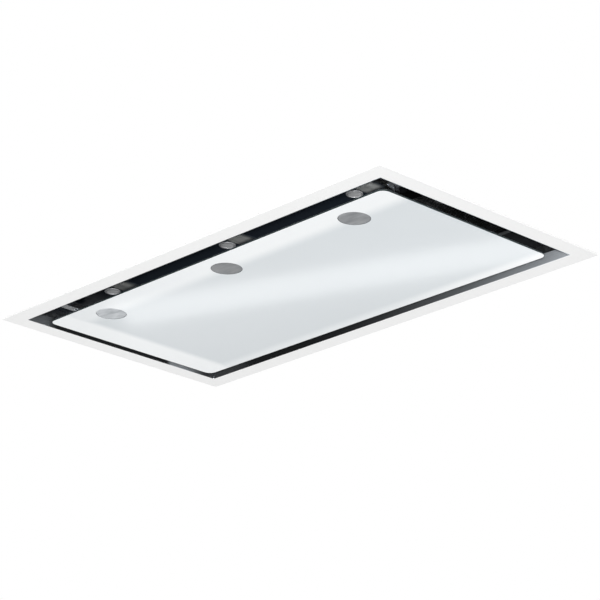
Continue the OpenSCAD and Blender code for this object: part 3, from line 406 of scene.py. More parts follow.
def level_edge(edge):
    return abs(edge.verts[0].co.z - edge.verts[1].co.z) < 0.1 * mm


def bevelled(shape, edges, width, segments):
    bmesh.ops.bevel(shape, geom=edges, offset=width * mm, offset_type="OFFSET", segments=segments,
                    profile=0.5, affect="EDGES", material=-1, clamp_overlap=False)
    return shape


def block(size, centre):
    """A box as a cutter or a starting shape, in millimetres."""
    shape = bmesh.new()
    bmesh.ops.create_cube(shape, size=1)
    bmesh.ops.scale(shape, verts=shape.verts, vec=Vector(size) * mm)
    bmesh.ops.translate(shape, verts=shape.verts, vec=Vector(centre) * mm)
    return shape


def rounded_block(size, centre, radius, segments):
    shape = block(size, centre)
    return bevelled(shape, [edge for edge in shape.edges if not level_edge(edge)], radius, segments)


def hexagon(radius, height):
    shape = bmesh.new()
    bmesh.ops.create_circle(shape, cap_ends=True, segments=6, radius=radius * mm)
    raised = bmesh.ops.extrude_face_region(shape, geom=shape.faces[:])["geom"]
    bmesh.ops.translate(shape, verts=[v for v in raised if isinstance(v, bmesh.types.BMVert)],
                        vec=(0, 0, height * mm))
    bmesh.ops.recalc_face_normals(shape, faces=shape.faces)
    return shape


print("helpers are ready")

# %% [markdown]
# ## Finishes
# Every finish is a node material on Object coordinates, so it stays on the piece when the panel swings.
# A value that varies is linked, and a value that is the same all over is set on the shader's own socket.
# Steps lie along the hood's own axes and are given in metres, and fades in millimetres from an edge.

# %% Helpers for materials
def start_finish(slot, roughness, metallic=0.0, ior=1.5, **extra):
    """The material of a slot: its shader and its Object coordinates."""
    made = bpy.data.materials.new(slot)
    made.use_nodes = True
    shader = made.node_tree.nodes["Principled BSDF"]
    for key, value in dict(Roughness=roughness, Metallic=metallic, IOR=ior, **extra).items():
        shader.inputs[key.replace("_", " ")].default_value = value
    finishes[slot] = made
    print("finish:", slot)
    return shader, wire(shader, "TexCoord").outputs["Object"]


def stretched(coords, scale):
    return wire(coords, "Mapping", {"Vector": coords, "Scale": scale}).outputs["Vector"]


def apart(coords):
    return wire(coords, "SeparateXYZ", {"Vector": coords}).outputs


def noise(coords, scale, detail=3):
    return wire(coords, "TexNoise", {"Vector": coords, "Scale": scale, "Detail": detail}).outputs["Fac"]


def span(value, low, high, start=0.0, end=1.0, ease="LINEAR"):
    """What runs from start to end is made to run from low to high."""
    return wire(value, "MapRange", {"Value": value, "From Min": start, "From Max": end, "To Min": low,
                                    "To Max": high}, interpolation_type=ease).outputs["Result"]


def soft_step(value, start, end, after=1.0, before=0.0):
    """One level before the start and another after the end. The start may be the larger one."""
    return span(value, before, after, start, end, "SMOOTHSTEP")


def fade(value, edge, start, end):
    """A soft step between two distances from an edge, in millimetres."""
    return soft_step(value, edge + start * mm, edge + end * mm)


def blend_colours(value, first, second):
    ends = [end if isinstance(end, bpy.types.NodeSocket) else (*end, 1) for end in (first, second)]
    return wire(value, "Mix", {0: value, 6: ends[0], 7: ends[1]}, data_type="RGBA").outputs[2]


def maths(operation, first, second):
    return wire(first, "Math", {0: first, 1: second}, operation=operation).outputs[0]


def times(colour, share):
    return wire(colour, "VectorMath", {0: colour, 1: share}, operation="MULTIPLY").outputs[0]


def set_colour(shader, colour):
    shader.id_data.links.new(colour, shader.inputs["Base Color"])


def set_roughness(shader, value):
    shader.id_data.links.new(value, shader.inputs["Roughness"])


def relief(shader, height, distance):
    """Bump with a depth in millimetres."""
    bump = wire(shader, "Bump", {"Height": height, "Distance": distance * mm, "Strength": 1.0})
    shader.id_data.links.new(bump.outputs["Normal"], shader.inputs["Normal"])


print("material helpers are ready")

# %% [markdown]
# The flange is powder coated. Such a coat is white with a faint orange peel a few millimetres wide, and
# its gloss changes a little from place to place. The noise for the peel only moves the normal.

# %% White paint
shader, coords = start_finish("white_paint", 0.38, Coat_Weight=0.15, Coat_Roughness=0.12)
set_colour(shader, blend_colours(noise(coords, 6, 2), (0.838, 0.842, 0.842), (0.858, 0.858, 0.854)))
set_roughness(shader, span(noise(coords, 40), 0.32, 0.44))
relief(shader, noise(coords, 420, 2), 0.03)

# %% [markdown]
# The panel is clear glass, painted white at the back. The glass gives it a sharp gloss over a colour with
# a breath of blue, made a little lighter towards the right end as painted light. The border is lighter
# still, with a soft change: a painted highlight along the rim. It is widest at one end. The ground edge of
# the sheet is told from its faces by its normal. It has the green of cut glass, and is made near black as
# painted shade for the dark recess seen through it.

# %% White glass
def painted_rim_highlight(coords):
    """The painted rim highlight: 0 over the tray, 1 on the border. Wide at the left end, narrow at the far
    side.
    """
    low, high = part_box("panel_tray")
    place = apart(coords)
    left = fade(place["X"], low.x, 62, 34)
    near = maths("MULTIPLY", fade(place["Y"], low.y, 62, 20), span(place["X"], 0.68, 1, -0.25, 0.1))
    far = maths("MULTIPLY", fade(place["Y"], high.y, -16, 14), span(place["X"], 0.55, 1, 0.1, 0.3))
    return maths("MAXIMUM", maths("MAXIMUM", left, near), far)


def ground_edge(shader, start, end):
    """0 on faces that lie flat, 1 on faces that stand upright."""
    facing = apart(wire(shader, "TexCoord").outputs["Normal"])["Z"]
    flat = wire(shader, "Math", {0: facing}, operation="ABSOLUTE").outputs[0]
    return span(flat, 1, 0, start, end)


RIM_HIGHLIGHT_WHITE = (0.873, 0.897, 0.907)
EDGE_GREEN_SHADED = (0.035, 0.05, 0.052)

shader, coords = start_finish("white_glass", 0.16, ior=1.52, Coat_Weight=0.6, Coat_Roughness=0.05)
body_white = blend_colours(noise(coords, 3, 1), (0.602, 0.648, 0.676), (0.632, 0.672, 0.697))
# Painted light: the body grows a little lighter towards the right end.
body_white = times(body_white, span(apart(coords)["X"], 1, 1.035, 0.05, 0.25))
# Painted highlight: the border is made lighter than the body.
face_white = blend_colours(painted_rim_highlight(coords), body_white, RIM_HIGHLIGHT_WHITE)
# Painted shade: the upright ground edge is made near black, with the glass's own green.
set_colour(shader, blend_colours(ground_edge(shader, 0.2, 0.75), face_white, EDGE_GREEN_SHADED))
set_roughness(shader, span(noise(coords, 30), 0.14, 0.2))
relief(shader, noise(coords, 5, 1), 0.05)

# %% [markdown]
# The round windows and the lamp lenses are frosted glass. A fine grain stands for the etching. The windows
# are made mid grey with cloudy streaks: painted shade for the dark recess behind them. The one at the left
# end is made paler, and the one at the right a little paler, as painted light.

# %% Frosted glass
def frosted(slot, dark, light, roughness, streaks):
    shader, coords = start_finish(slot, roughness, Coat_Weight=0.3, Coat_Roughness=0.2)
    relief(shader, noise(coords, 2600, 2), 0.02)
    cloud = span(noise(stretched(coords, streaks), 1, 2), 0, 1, 0.3, 0.7)
    return shader, coords, blend_colours(cloud, dark, light)


MIDDLE_WINDOW = 0.85
LEFT_WINDOW_LIGHT = 1.62
RIGHT_WINDOW_LIGHT = 0.16

shader, coords, tone = frosted("window_glass", (0.122, 0.132, 0.142), (0.226, 0.236, 0.246), 0.32,
                               (22, 60, 1))
across = apart(coords)["X"]
# Painted light: the left window is made much paler and the right one a little paler.
window_painted_light = maths("ADD", soft_step(across, -0.2, -0.3, LEFT_WINDOW_LIGHT),
              soft_step(across, 0.1, 0.3, RIGHT_WINDOW_LIGHT))
set_colour(shader, times(tone, maths("ADD", window_painted_light, MIDDLE_WINDOW)))
shader, coords, tone = frosted("lamp_lens", (0.93, 0.94, 0.96), (0.97, 0.98, 0.99), 0.4, (90, 90, 1))
set_colour(shader, tone)

# %% [markdown]
# The recess is lined with polished steel. Sheet is never quite flat, so a long shallow wave bends its
# reflections, and fine lines from polishing run along it. The plate above it is darker, with a cold blue
# tint, and darker still at its left. Its right end, past the last lamp, is dull, and is made nearly black
# as painted shade.

# %% Polished plate
def polished(slot, dark, light, rough, metallic, wave):
    shader, coords = start_finish(slot, rough[0], metallic)
    set_roughness(shader, span(noise(stretched(coords, (4, 4, 700)), 3, 2), *rough))
    relief(shader, noise(coords, 7, 1), wave)
    return shader, coords, blend_colours(noise(coords, 9), dark, light)


SHADED_PLATE_RIGHT = (0.425, 0.44)
PLATE_LEFT = (-0.28, -0.36)

shader, coords, tone = polished("dark_steel", (0.033, 0.046, 0.068), (0.048, 0.063, 0.087), (0.42, 0.54),
                                0.35, 0.5)
across = apart(coords)["X"]
# Painted shade: past the last lamp the plate's colour falls to a tenth.
ends = maths("MULTIPLY", soft_step(across, *SHADED_PLATE_RIGHT, 0.1, 1), soft_step(across, *PLATE_LEFT, 0.4, 1))
set_colour(shader, times(tone, ends))
lines = shader.inputs["Roughness"].links[0].from_socket
set_roughness(shader, maths("ADD", lines, soft_step(across, *SHADED_PLATE_RIGHT, 0.45)))

# %% [markdown]
# The wall is made dark at the left and pale towards the right end, with pale patches near the corners at
# the left and one on the far side. These are painted light and painted reflections, carried as slow changes
# of tone.

# %% Polished wall
WALL_SHADED_LEVEL = 0.07
WALL_LIT_LEVEL = 1.75
WALL_POWER = 2.6

shader, coords, tone = polished("mirror_steel", (0.42, 0.45, 0.48), (0.51, 0.54, 0.57), (0.24, 0.34),
                                0.5, 0.6)
low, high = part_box("recess_liner")
place = apart(coords)
# Painted light: a ramp that lightens the wall towards the right, and painted highlights near its corners.
wall_painted_light = maths("POWER", span(place["X"], 0, 1, low.x / 2, high.x), WALL_POWER)
left_painted_highlight = maths("MULTIPLY", soft_step(place["Y"], 0.125, 0.145), soft_step(place["Y"], 0.26, 0.17))
corner = soft_step(place["Y"], -0.19, -0.23, 0.35)
end_painted_highlights = maths("MULTIPLY", fade(place["X"], low.x, 40, 20), maths("ADD", left_painted_highlight, corner))
far_painted_highlight = maths("MULTIPLY", soft_step(place["X"], -0.41, -0.49, 0.15), soft_step(place["Y"], 0.24, 0.27))
share = maths("ADD", span(wall_painted_light, WALL_SHADED_LEVEL, WALL_LIT_LEVEL), maths("ADD", end_painted_highlights, far_painted_highlight))
set_colour(shader, times(tone, share))

# %% [markdown]
# Galvanised sheet shows a spangle: flat crystals of zinc, each with its own brightness and gloss. A
# Voronoi pattern whose coordinates are shaken by noise gives such crystals. Fine scratches lie over them.

# %% Galvanised sheet
shader, coords = start_finish("galvanised", 0.38, 1.0)
shake = wire(coords, "TexNoise", {"Vector": coords, "Scale": 60, "Detail": 2}).outputs["Color"]
shaken = wire(coords, "MixRGB", {"Fac": 0.04, "Color1": coords, "Color2": shake}, blend_type="ADD")
crystal = wire(coords, "TexVoronoi", {"Vector": shaken.outputs[0], "Scale": 105}, feature="F1")
tone = wire(coords, "SeparateColor", {"Color": crystal.outputs["Color"]}).outputs
scratch = noise(stretched(coords, (30, 900, 900)), 1, 2)
set_colour(shader, blend_colours(tone["Red"], (0.56, 0.58, 0.595), (0.69, 0.71, 0.725)))
set_roughness(shader, maths("ADD", span(tone["Green"], 0.26, 0.44), span(scratch, -0.05, 0.08)))
relief(shader, noise(coords, 220), 0.03)

# %% [markdown]
# The other metals, plastics and paints share one recipe: a base colour with a slow change of tone, a
# roughness that varies, and a fine cast, moulded or sprayed texture. Each of the three follows a noise of
# its own scale. Satin and brushed metals have it drawn out into lines.

# %% Plain finishes
def plain_finish(slot, metallic, dark, light, rough, scales, depth, stretch=(1, 1, 1)):
    shader, coords = start_finish(slot, rough[0], metallic)
    along = stretched(coords, stretch)
    set_colour(shader, blend_colours(noise(along, scales[0]), dark, light))
    set_roughness(shader, span(noise(along, scales[1]), *rough))
    relief(shader, noise(along, scales[2]), depth)


for row in (
    ("zinc", 1, (0.62, 0.64, 0.68), (0.74, 0.76, 0.79), (0.16, 0.32), (60, 102, 400), 0.02),
    # Painted shade: the filter frames are made near black, for filters deep in the dark plenum.
    ("filter_aluminium", 1, (0.05, 0.055, 0.06), (0.08, 0.085, 0.09), (0.36, 0.5), (30, 51, 400), 0.02,
     (1, 30, 30)),
    # Painted shade: the filter mesh is made near black as well.
    ("mesh_aluminium", 1, (0.10, 0.105, 0.115), (0.15, 0.155, 0.165), (0.30, 0.46), (60, 102, 400), 0.02),
    ("flap_aluminium", 1, (0.66, 0.67, 0.69), (0.78, 0.79, 0.80), (0.22, 0.36), (30, 51, 400), 0.02,
     (30, 30, 1)),
    ("lamp_can", 1, (0.36, 0.37, 0.39), (0.46, 0.47, 0.49), (0.42, 0.6), (120, 204, 900), 0.08),
    ("motor_alloy", 1, (0.50, 0.51, 0.53), (0.62, 0.63, 0.64), (0.38, 0.55), (120, 204, 900), 0.08),
    ("bezel", 0.3, (0.62, 0.63, 0.65), (0.70, 0.71, 0.73), (0.3, 0.42), (30, 150, 900), 0.02),
    ("tray_paint", 0, (0.018, 0.018, 0.02), (0.03, 0.03, 0.033), (0.42, 0.58), (14, 70, 900), 0.05),
    ("black_plastic", 0, (0.02, 0.02, 0.022), (0.036, 0.036, 0.038), (0.42, 0.6), (14, 70, 1400), 0.05),
    ("latch_plastic", 0, (0.02, 0.02, 0.022), (0.034, 0.034, 0.036), (0.36, 0.5), (14, 70, 1600), 0.04),
    ("scroll_plastic", 0, (0.50, 0.51, 0.52), (0.60, 0.61, 0.62), (0.4, 0.55), (14, 70, 1200), 0.05),
    ("wheel_plastic", 0, (0.66, 0.65, 0.60), (0.74, 0.73, 0.69), (0.35, 0.5), (14, 70, 1200), 0.04),
    ("motor_paint", 0, (0.07, 0.075, 0.08), (0.10, 0.105, 0.11), (0.35, 0.5), (14, 70, 600), 0.05),
    ("rubber", 0, (0.014, 0.014, 0.014), (0.026, 0.026, 0.026), (0.7, 0.85), (14, 70, 700), 0.08),
    ("foam", 0, (0.035, 0.035, 0.036), (0.075, 0.075, 0.077), (0.85, 0.98), (200, 1000, 520), 0.6),
    ("circuit_board", 0, (0.015, 0.10, 0.045), (0.03, 0.16, 0.07), (0.3, 0.45), (90, 450, 300), 0.08),
):
    plain_finish(*row)

# %% [markdown]
# The covers beside the lamps carry a painted highlight: a streaky satin grey that grows lighter towards the
# right and fades into the dark plate at their edges. They repeat at the pitch of the lamps, so one wrapped
# coordinate serves all three.

# %% Lead covers
cover_low, cover_high = box_of(islands("lead_covers")[1])
cover_middle, cover_half = (cover_low + cover_high) / 2, (cover_high - cover_low) / 2
lamp_pitch = lamp_places[1].translation.x - lamp_places[0].translation.x

shader, coords = start_finish("lead_cover", 0.5)
place = apart(coords)
off_x = wire(coords, "Math", {0: maths("SUBTRACT", place["X"], cover_middle.x), 1: lamp_pitch / 2,
                              2: -lamp_pitch / 2}, operation="WRAP").outputs[0]
off_y = maths("SUBTRACT", place["Y"], cover_middle.y)
# Painted highlight: a pale patch on each cover, fading to the plate's colour at its edges.
cover_highlight_mask = maths("MULTIPLY", fade(off_x, -cover_half.x, 0, 7), fade(off_x, cover_half.x, 0, -16))
cover_highlight_mask = maths("MULTIPLY", cover_highlight_mask, fade(off_y, cover_half.y, 0, -15))
streaks = span(noise(stretched(coords, (60, 14, 1)), 1), 0, 1, 0.3, 0.7)
cover_highlight_colour = blend_colours(streaks, (0.44, 0.46, 0.46), (0.77, 0.78, 0.76))
cover_highlight_colour = times(cover_highlight_colour, span(place["X"], 0.8, 1.2, -lamp_pitch, lamp_pitch))
set_colour(shader, blend_colours(cover_highlight_mask, (0.048, 0.06, 0.076), cover_highlight_colour))
relief(shader, noise(coords, 900, 2), 0.03)

# %% [markdown]
# The CAD nodes that keep their own shape get their finish now. A piece that stands for a node gets its
# own finish from the same slot when the pieces are done.

# %% Dress the CAD nodes
for node_name, node_object in frame["nodes"].items():
    node_object.data.materials.clear()
    node_object.data.materials.append(finishes[slot_of[node_name]])
print("dressed", len(frame["nodes"]), "nodes")

# %% [markdown]
# ## Folded sheet
# The flange, the liner, the housing, the motor box and the brackets are folded from sheet. On the real
# object each fold has a small radius. The CAD shapes are right, so a rounded copy of each takes their
# place. The width is about the thickness of the sheet, and smaller where two folds are close.

# %% Flange, recess and housing
for node, width, segments in (
    ("flange_frame", 0.7, 3), ("recess_liner", 0.4, 2), ("housing_shell", 0.5, 2), ("housing_top", 0.4, 2),
    ("lid_strips", 0.4, 2), ("plenum_plate", 0.35, 2), ("filter_crossbars", 0.3, 2), ("motor_box", 0.9, 3),
    ("hanging_brackets", 0.7, 2), ("duct_collar", 0.5, 2), ("control_box", 0.6, 2), ("control_lid", 0.9, 3),
):
    rounded(node, width, segments)

# %% [markdown]
# The polished wall is four strips that meet in mitres, and a thin bright weld closes each mitre. It shows
# as a fine upright line in the corner at the bottom of the photograph.

# %% Welds in the corners of the recess
WELD_R = 1.3
WALL_T = 1.0

bottom, top = levels("recess_liner")
opening = [max(p[i] for p in islands("recess_liner")[0] if abs(p.z / mm - bottom) < 0.1) - WALL_T * mm
           for i in (0, 1)]
bead = turned([(0, bottom + 0.3), (WELD_R - 0.4, bottom + 0.3), (WELD_R, bottom + 1), (WELD_R, top - 1),
               (WELD_R - 0.4, top - 0.2), (0, top - 0.2)], steps=16)
corners = [Matrix.Translation((sx * opening[0], sy * opening[1], 0)) for sx in (-1, 1) for sy in (-1, 1)]
put("mitre_welds", gather([(bead, corners)]), "recess_liner", slot="zinc", stands_for=False)

# %% [markdown]
# The panel's tray, its stiffeners and the small steel parts of the hinge and the catches are rounded the
# same way. So are the moulded latches, the blower's casing and the foam, whose edges are softer.

# %% Panel hardware, filters and blower
for node, width, segments in (
    ("panel_tray", 0.5, 2), ("panel_stiffeners", 0.35, 2), ("window_rings", 0.4, 2),
    ("hinge_leaves", 0.35, 2), ("striker_plates", 0.35, 2), ("hinge_brackets", 0.35, 2),
    ("hinge_pins", 0.4, 2), ("catch_brackets", 0.4, 2), ("catch_blocks", 0.8, 3), ("catch_magnets", 0.5, 2),
    ("filter_frame_left", 0.5, 2), ("filter_frame_centre", 0.5, 2), ("filter_frame_right", 0.5, 2),
    ("filter_latch_left", 0.4, 2), ("filter_latch_centre", 0.4, 2), ("filter_latch_right", 0.4, 2),
    ("scroll_base", 0.4, 2), ("scroll_cover", 0.5, 2), ("motor_base", 0.6, 2), ("rotor_can", 0.8, 3),
    ("flap_pin", 0.3, 2), ("flap_left", 0.25, 2), ("flap_right", 0.25, 2), ("control_board", 0.3, 2),
    ("ceiling_gasket", 0.4, 2),
):
    rounded(node, width, segments)

# %% [markdown]
# The sides of the motor box and of the housing meet in laps. An edge of one side folds round the corner and
# is spot welded to the next. Each weld leaves a shallow round dimple with a raised rim. They are small and
# repeated, so one turned dimple of few faces is copied along each lap.

# %% Lap seams
LAP_W = 15
LAP_T = 0.8
LAP_SINK = 0.1
LAP_EDGE = 0.3
WELD_PITCH = 27
DIMPLE = [(0, -0.05), (3.4, -0.05), (3.4, 0.12), (2.8, 0.4), (2.2, 0.36), (1.6, 0.1), (0, 0.06)]
laps, dimples = [], []


def lap(low, high, turn):
    """A strip between two corners, with welds along the middle of the face that it shows."""
    size, centre = high - low, (low + high) / 2
    laps.append((block(size, centre), AS_IT_IS))
    along = max(range(3), key=lambda i: size[i])
    face = centre + (turn @ Vector((0, 0, 1))) * LAP_T / 2
    count = int((size[along] - LAP_W) / WELD_PITCH) + 1
    for i in range(count):
        place = face.copy()
        place[along] += (i - (count - 1) / 2) * WELD_PITCH
        dimples.append(Matrix.Translation(place * mm) @ turn)


def corner_laps(half_l, half_w, bottom, top):
    """Four upright laps on the end walls of a folded box."""
    for side in (-1, 1):
        inner, outer = sorted((side * (half_l - LAP_SINK), side * (half_l - LAP_SINK + LAP_T)))
        for y in (-half_w, half_w - LAP_W):
            lap(Vector((inner, y, bottom)), Vector((outer, y + LAP_W, top)),
                Matrix.Rotation(math.radians(90 * side), 4, "Y"))


def put_laps(name, node):
    """The strips and welds that were laid out last, on a node."""
    soften(put(name + "_laps", gather(laps), node, stands_for=False), LAP_EDGE)
    put(name + "_welds", gather([(turned(DIMPLE, steps=14), dimples)]), node, stands_for=False)
    laps.clear()
    dimples.clear()


# %% Laps of the motor box
BOX_FOOT = 14
BOX_RIB = 2
FOOT_GAP = 4
ROOF_GAP = 2
SIDE_GAP = 3

low, high = (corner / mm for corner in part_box("motor_box"))
half_l, half_w, roof = high.x - BOX_FOOT, high.y - BOX_FOOT, high.z - BOX_RIB
corner_laps(half_l, half_w, low.z + FOOT_GAP, roof - ROOF_GAP)
for side in (-1, 1):
    middle_x = side * (half_l - LAP_W / 2 - 1)
    lap(Vector((middle_x - LAP_W / 2, SIDE_GAP - half_w, roof - LAP_SINK)),
        Vector((middle_x + LAP_W / 2, half_w - SIDE_GAP, roof - LAP_SINK + LAP_T)), Matrix.Identity(4))
put_laps("motor_box", "motor_box")

# %% Laps of the housing
LID_T = 1.5
LID_SKIRT = 14.5
SHELL_FOOT = 8

low, high = (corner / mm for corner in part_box("housing_top"))
corner_laps(high.x - LID_T, high.y - LID_T, SHELL_FOOT, low.z - LID_SKIRT - ROOF_GAP)
put_laps("housing", "housing_shell")

# %% [markdown]
# ## The glass panel
# The panel is one sheet of glass, cut with round corners and three round windows. Every edge is ground to
# a small arris, which catches a thin bright line. It starts as a block, its upright edges are bevelled to
# the corner radius, and three turned cutters take out the windows.

# %% Glass panel
CORNER_R = 18
WINDOW_R = 33
WINDOW_GAP = 0.3
ARRIS = 0.7

low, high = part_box("glass_panel")
size, centre = (high - low) / mm, (high + low) / 2 / mm
drill = rod(WINDOW_R + WINDOW_GAP, centre.z - size.z, centre.z + size.z, 96)
sheet = carved(rounded_block(size, centre, CORNER_R, 12), gather([(drill, lamp_places)]))
soften(put("glass_sheet", sheet, "glass_panel"), ARRIS)

# %% [markdown]
# Each window is a disc of etched glass with a lip behind the panel. It is turned from its half section.
# Its face is very slightly crowned, and its rim is polished to a round.

# %% Window discs
LIP = 1.2
LIP_R = 37
RIM = 1.1

face, back = levels("window_lenses")
section = [(0, face), (WINDOW_R * 0.6, face + 0.02), (WINDOW_R - 2 * RIM, face + 0.08)]
section += arc((WINDOW_R - RIM, face + 0.1 + RIM), RIM, -90, 0)
section += [(WINDOW_R, back - LIP), (LIP_R, back - LIP), (LIP_R, back), (0, back)]
put("window_discs", gather([(turned(section, steps=96), lamp_places)]), "window_lenses", smooth=40)

# %% [markdown]
# ## Lamps
# A lamp is a frosted lens in a turned bright ring, with a finned body behind the plate. All three parts
# are round, so each is one half section and one spin. The body then gets its cooling slots.

# %% Lamp rings
RING_R = 17.5
LENS_HOLE_R = 13.6
NECK_R = 14.8
PLATE_Z = levels("plenum_plate")[0]

bottom, top = levels("lamp_bezels")
section = [(LENS_HOLE_R, top), (LENS_HOLE_R, bottom + 0.9)]
section += arc((LENS_HOLE_R + 0.8, bottom + 0.8), 0.8, 180, 270, 4)
section += [(RING_R - 1.8, bottom + 0.15)]
section += arc((RING_R - 1.4, bottom + 1.55), 1.4, -90, 0, 5)
section += [(RING_R, PLATE_Z - 0.02), (NECK_R, PLATE_Z - 0.02), (NECK_R, top)]
put("lamp_rings", gather([(turned(section), lamp_places)]), "lamp_bezels")

# %% Lamp lenses
LENS_R = 13.3

bottom, top = levels("lamp_lenses")
section = [(0, bottom), (6, bottom + 0.06), (10, bottom + 0.2), (LENS_R - 0.5, bottom + 0.42),
           (LENS_R, bottom + 0.8), (LENS_R, top), (0, top)]
put("lamp_glasses", gather([(turned(section), lamp_places)]), "lamp_lenses")

# %% Lamp bodies
CAN_R = 18
FIN_R = 21
FINS = 5
SLOT = (50, 1.6)
BODY_Z = PLATE_Z + 1

bottom, top = levels("lamp_cans")
step = (top - BODY_Z) / (FINS + 1)

section = [(0, bottom), (LENS_R, bottom), (LENS_R, BODY_Z), (CAN_R - 0.6, BODY_Z), (CAN_R, BODY_Z + 0.6)]
for i in range(1, FINS + 1):
    z = BODY_Z + i * step
    section += [(CAN_R, z - 0.2), (FIN_R - 0.5, z), (FIN_R, z + 0.4), (FIN_R, z + 1.2),
                (FIN_R - 0.5, z + 1.6), (CAN_R, z + 1.8)]
section += [(CAN_R, top - 1), (CAN_R - 1, top), (8, top), (7, top - 1.2), (0, top - 1.2)]
body = turned(section)
slots = gather([(block((*SLOT, top - bottom - 8), (0, 0, (top + bottom) / 2 + 8)),
                 [Matrix.Rotation(math.radians(a), 4, "Z") for a in (45, 135)])])
slots = carved(slots, rod(CAN_R + 0.4, bottom, top + 20))
put("lamp_bodies", gather([(carved(body, slots), lamp_places)]), "lamp_cans")

# %% [markdown]
# Beside each lamp a thin pressed cover hides its lead. A rim is left flat, and the middle is pressed down
# by half a millimetre with a soft step. The pale patch on the cover is a painted highlight in its finish.

# %% Lead covers
COVER_T = 0.5
COVER_CORNER = 3
COVER_RIM = 1.2
COVER_STEPS = ((0.06, 0.4), (0.3, 0.6), (0.14, 0.4))

covers = []
for points in islands("lead_covers"):
    low, high = box_of(points)
    size, centre = (high - low) / mm, (high + low) / 2 / mm
    plate = rounded_block((size.x, size.y, COVER_T), (centre.x, centre.y, high.z / mm - COVER_T / 2),
                          COVER_CORNER, 5)
    lower = [f for f in plate.faces if f.normal.z < -0.9]
    bmesh.ops.inset_region(plate, faces=lower, thickness=COVER_RIM * mm, use_even_offset=True)
    for depth, inset in COVER_STEPS:
        bmesh.ops.inset_region(plate, faces=lower, thickness=inset * mm, depth=0, use_even_offset=True)
        bmesh.ops.translate(plate, verts=list({v for f in lower for v in f.verts}), vec=(0, 0, -depth * mm))
    covers.append((plate, AS_IT_IS))
put("lead_cover_pressings", gather(covers), "lead_covers", smooth=50)

# %% [markdown]
# ## Screws, rivets and nuts
# A screw in the frame is a plain head on a plain shank. The detailed one is found its place by measuring
# each island: its axis is the side that differs from the other two, and its head is its widest level.

# %% Measure the plain fasteners
HEAD_SHARE = 0.9


class Fastener:
    """Where a plain screw sits, and its sizes in millimetres."""

    def __init__(self, points):
        low, high = box_of(points)
        size, centre = high - low, (low + high) / 2
        gaps = [abs(size[(k + 1) % 3] - size[(k + 2) % 3]) for k in range(3)]
        k = gaps.index(min(gaps))
        widths = {}
        for p in points:
            away = (p - centre) - Vector([(p - centre)[i] if i == k else 0 for i in range(3)])
            level = round(p[k] / mm, 2)
            widths[level] = max(widths.get(level, 0), away.length / mm)
        self.head_r = max(widths.values())
        wide = [z for z, r in widths.items() if r > HEAD_SHARE * self.head_r]
        thin = [z for z in widths if z not in wide]
        far = max(thin, key=lambda z: abs(z - wide[0])) if thin else min(wide)
        facing = 1 if sum(wide) / len(wide) >= far else -1
        seat = min(wide) if facing > 0 else max(wide)
        self.head_h = max(wide) - min(wide)
        self.shank_l = abs(seat - far)
        self.shank_r = widths[far] if thin else self.head_r / 2
        centre[k] = seat * mm
        axis = Vector([facing if i == k else 0 for i in range(3)])
        turn = Vector((0, 0, 1)).rotation_difference(axis).to_matrix().to_4x4()
        self.place = Matrix.Translation(centre) @ turn


def fasten(name, node, make, seed):
    """Put one detailed fastener on every plain one, each turned by its own angle."""
    chance = random.Random(seed)
    plain = [Fastener(points) for points in islands(node)]
    places = [f.place @ Matrix.Rotation(chance.uniform(0, math.tau), 4, "Z") for f in plain]
    put(name, gather([(make(plain[0]), places)]), node)
    print(name, "on", len(places), "places, head radius", round(plain[0].head_r, 2))


# %% [markdown]
# A pan head is low and domed, with a cross recess. The head and shank are one half section. Two thin bars
# cut the recess one after the other, because bars that cross can't be taken off in one cut.

# %% Pan head screws
def pan_screw(f):
    r, h = f.head_r, f.head_h
    section = [(0, h), (0.45 * r, 0.97 * h), (0.75 * r, 0.82 * h), (0.93 * r, 0.55 * h), (r, 0.25 * h),
               (r, 0), (f.shank_r, 0), (f.shank_r, 0.6 - f.shank_l), (0.4 * f.shank_r, -f.shank_l),
               (0, -f.shank_l)]
    head = turned(section, steps=20)
    for bar in ((1.15 * r, 0.24 * r, h), (0.24 * r, 1.15 * r, h)):
        head = carved(head, block(bar, (0, 0, h)))
    return head


for number, (name, node) in enumerate((
    ("lid_pan_screws", "housing_screws"), ("bracket_pan_screws", "hanging_screws"),
    ("box_pan_screws", "motor_box_screws"), ("scroll_pan_screws", "scroll_screws"),
    ("collar_pan_screws", "collar_screws"), ("catch_pan_screws", "catch_screws"),
    ("control_pan_screws", "control_screws"),
)):
    fasten(name, node, pan_screw, number)

# %% [markdown]
# A blind rivet has a low round head with a small hole, where its pin broke off.

# %% Blind rivets
def blind_rivet(f):
    r, h = f.head_r, f.head_h
    section = [(0, 0.3 * h), (0.18 * r, 0.3 * h), (0.26 * r, 0.95 * h), (0.5 * r, h), (0.75 * r, 0.85 * h),
               (0.94 * r, 0.5 * h), (r, 0.2 * h), (r, 0), (f.shank_r, 0), (f.shank_r, -f.shank_l),
               (0, -f.shank_l)]
    return turned(section, steps=20)


fasten("blind_rivets", "plenum_rivets", blind_rivet, 11)

# %% [markdown]
# The nuts on the weld studs are hexagons with a pressed washer. Their upper corners are chamfered.

# %% Flange nuts
def washer_nut(f):
    r, h = f.head_r, f.head_h
    hole_r = 0.5 * r
    nut = hexagon(0.88 * r, h)
    rim = [e for e in nut.edges if all(v.co.z > 0.5 * h * mm for v in e.verts)]
    nut = carved(bevelled(nut, rim, 0.1 * r, 1), rod(hole_r, -1, h + 1, 20))
    washer = turned([(hole_r, 0), (r, 0), (r, 0.12 * h), (0.8 * r, 0.28 * h), (hole_r, 0.28 * h)], steps=24)
    return gather([(nut, AS_IT_IS), (washer, AS_IT_IS)])


fasten("washer_nuts", "flange_nuts", washer_nut, 12)

# %% [markdown]
# ## Filter mesh
# A grease filter is a stack of expanded aluminium sheets. Expanded sheet is a net of diamonds, twice as
# long as they are wide, and slightly wavy. A turned grid gives the diamonds, bisect_plane trims it to the
# frame, and the Wireframe modifier gives every strand its thickness.

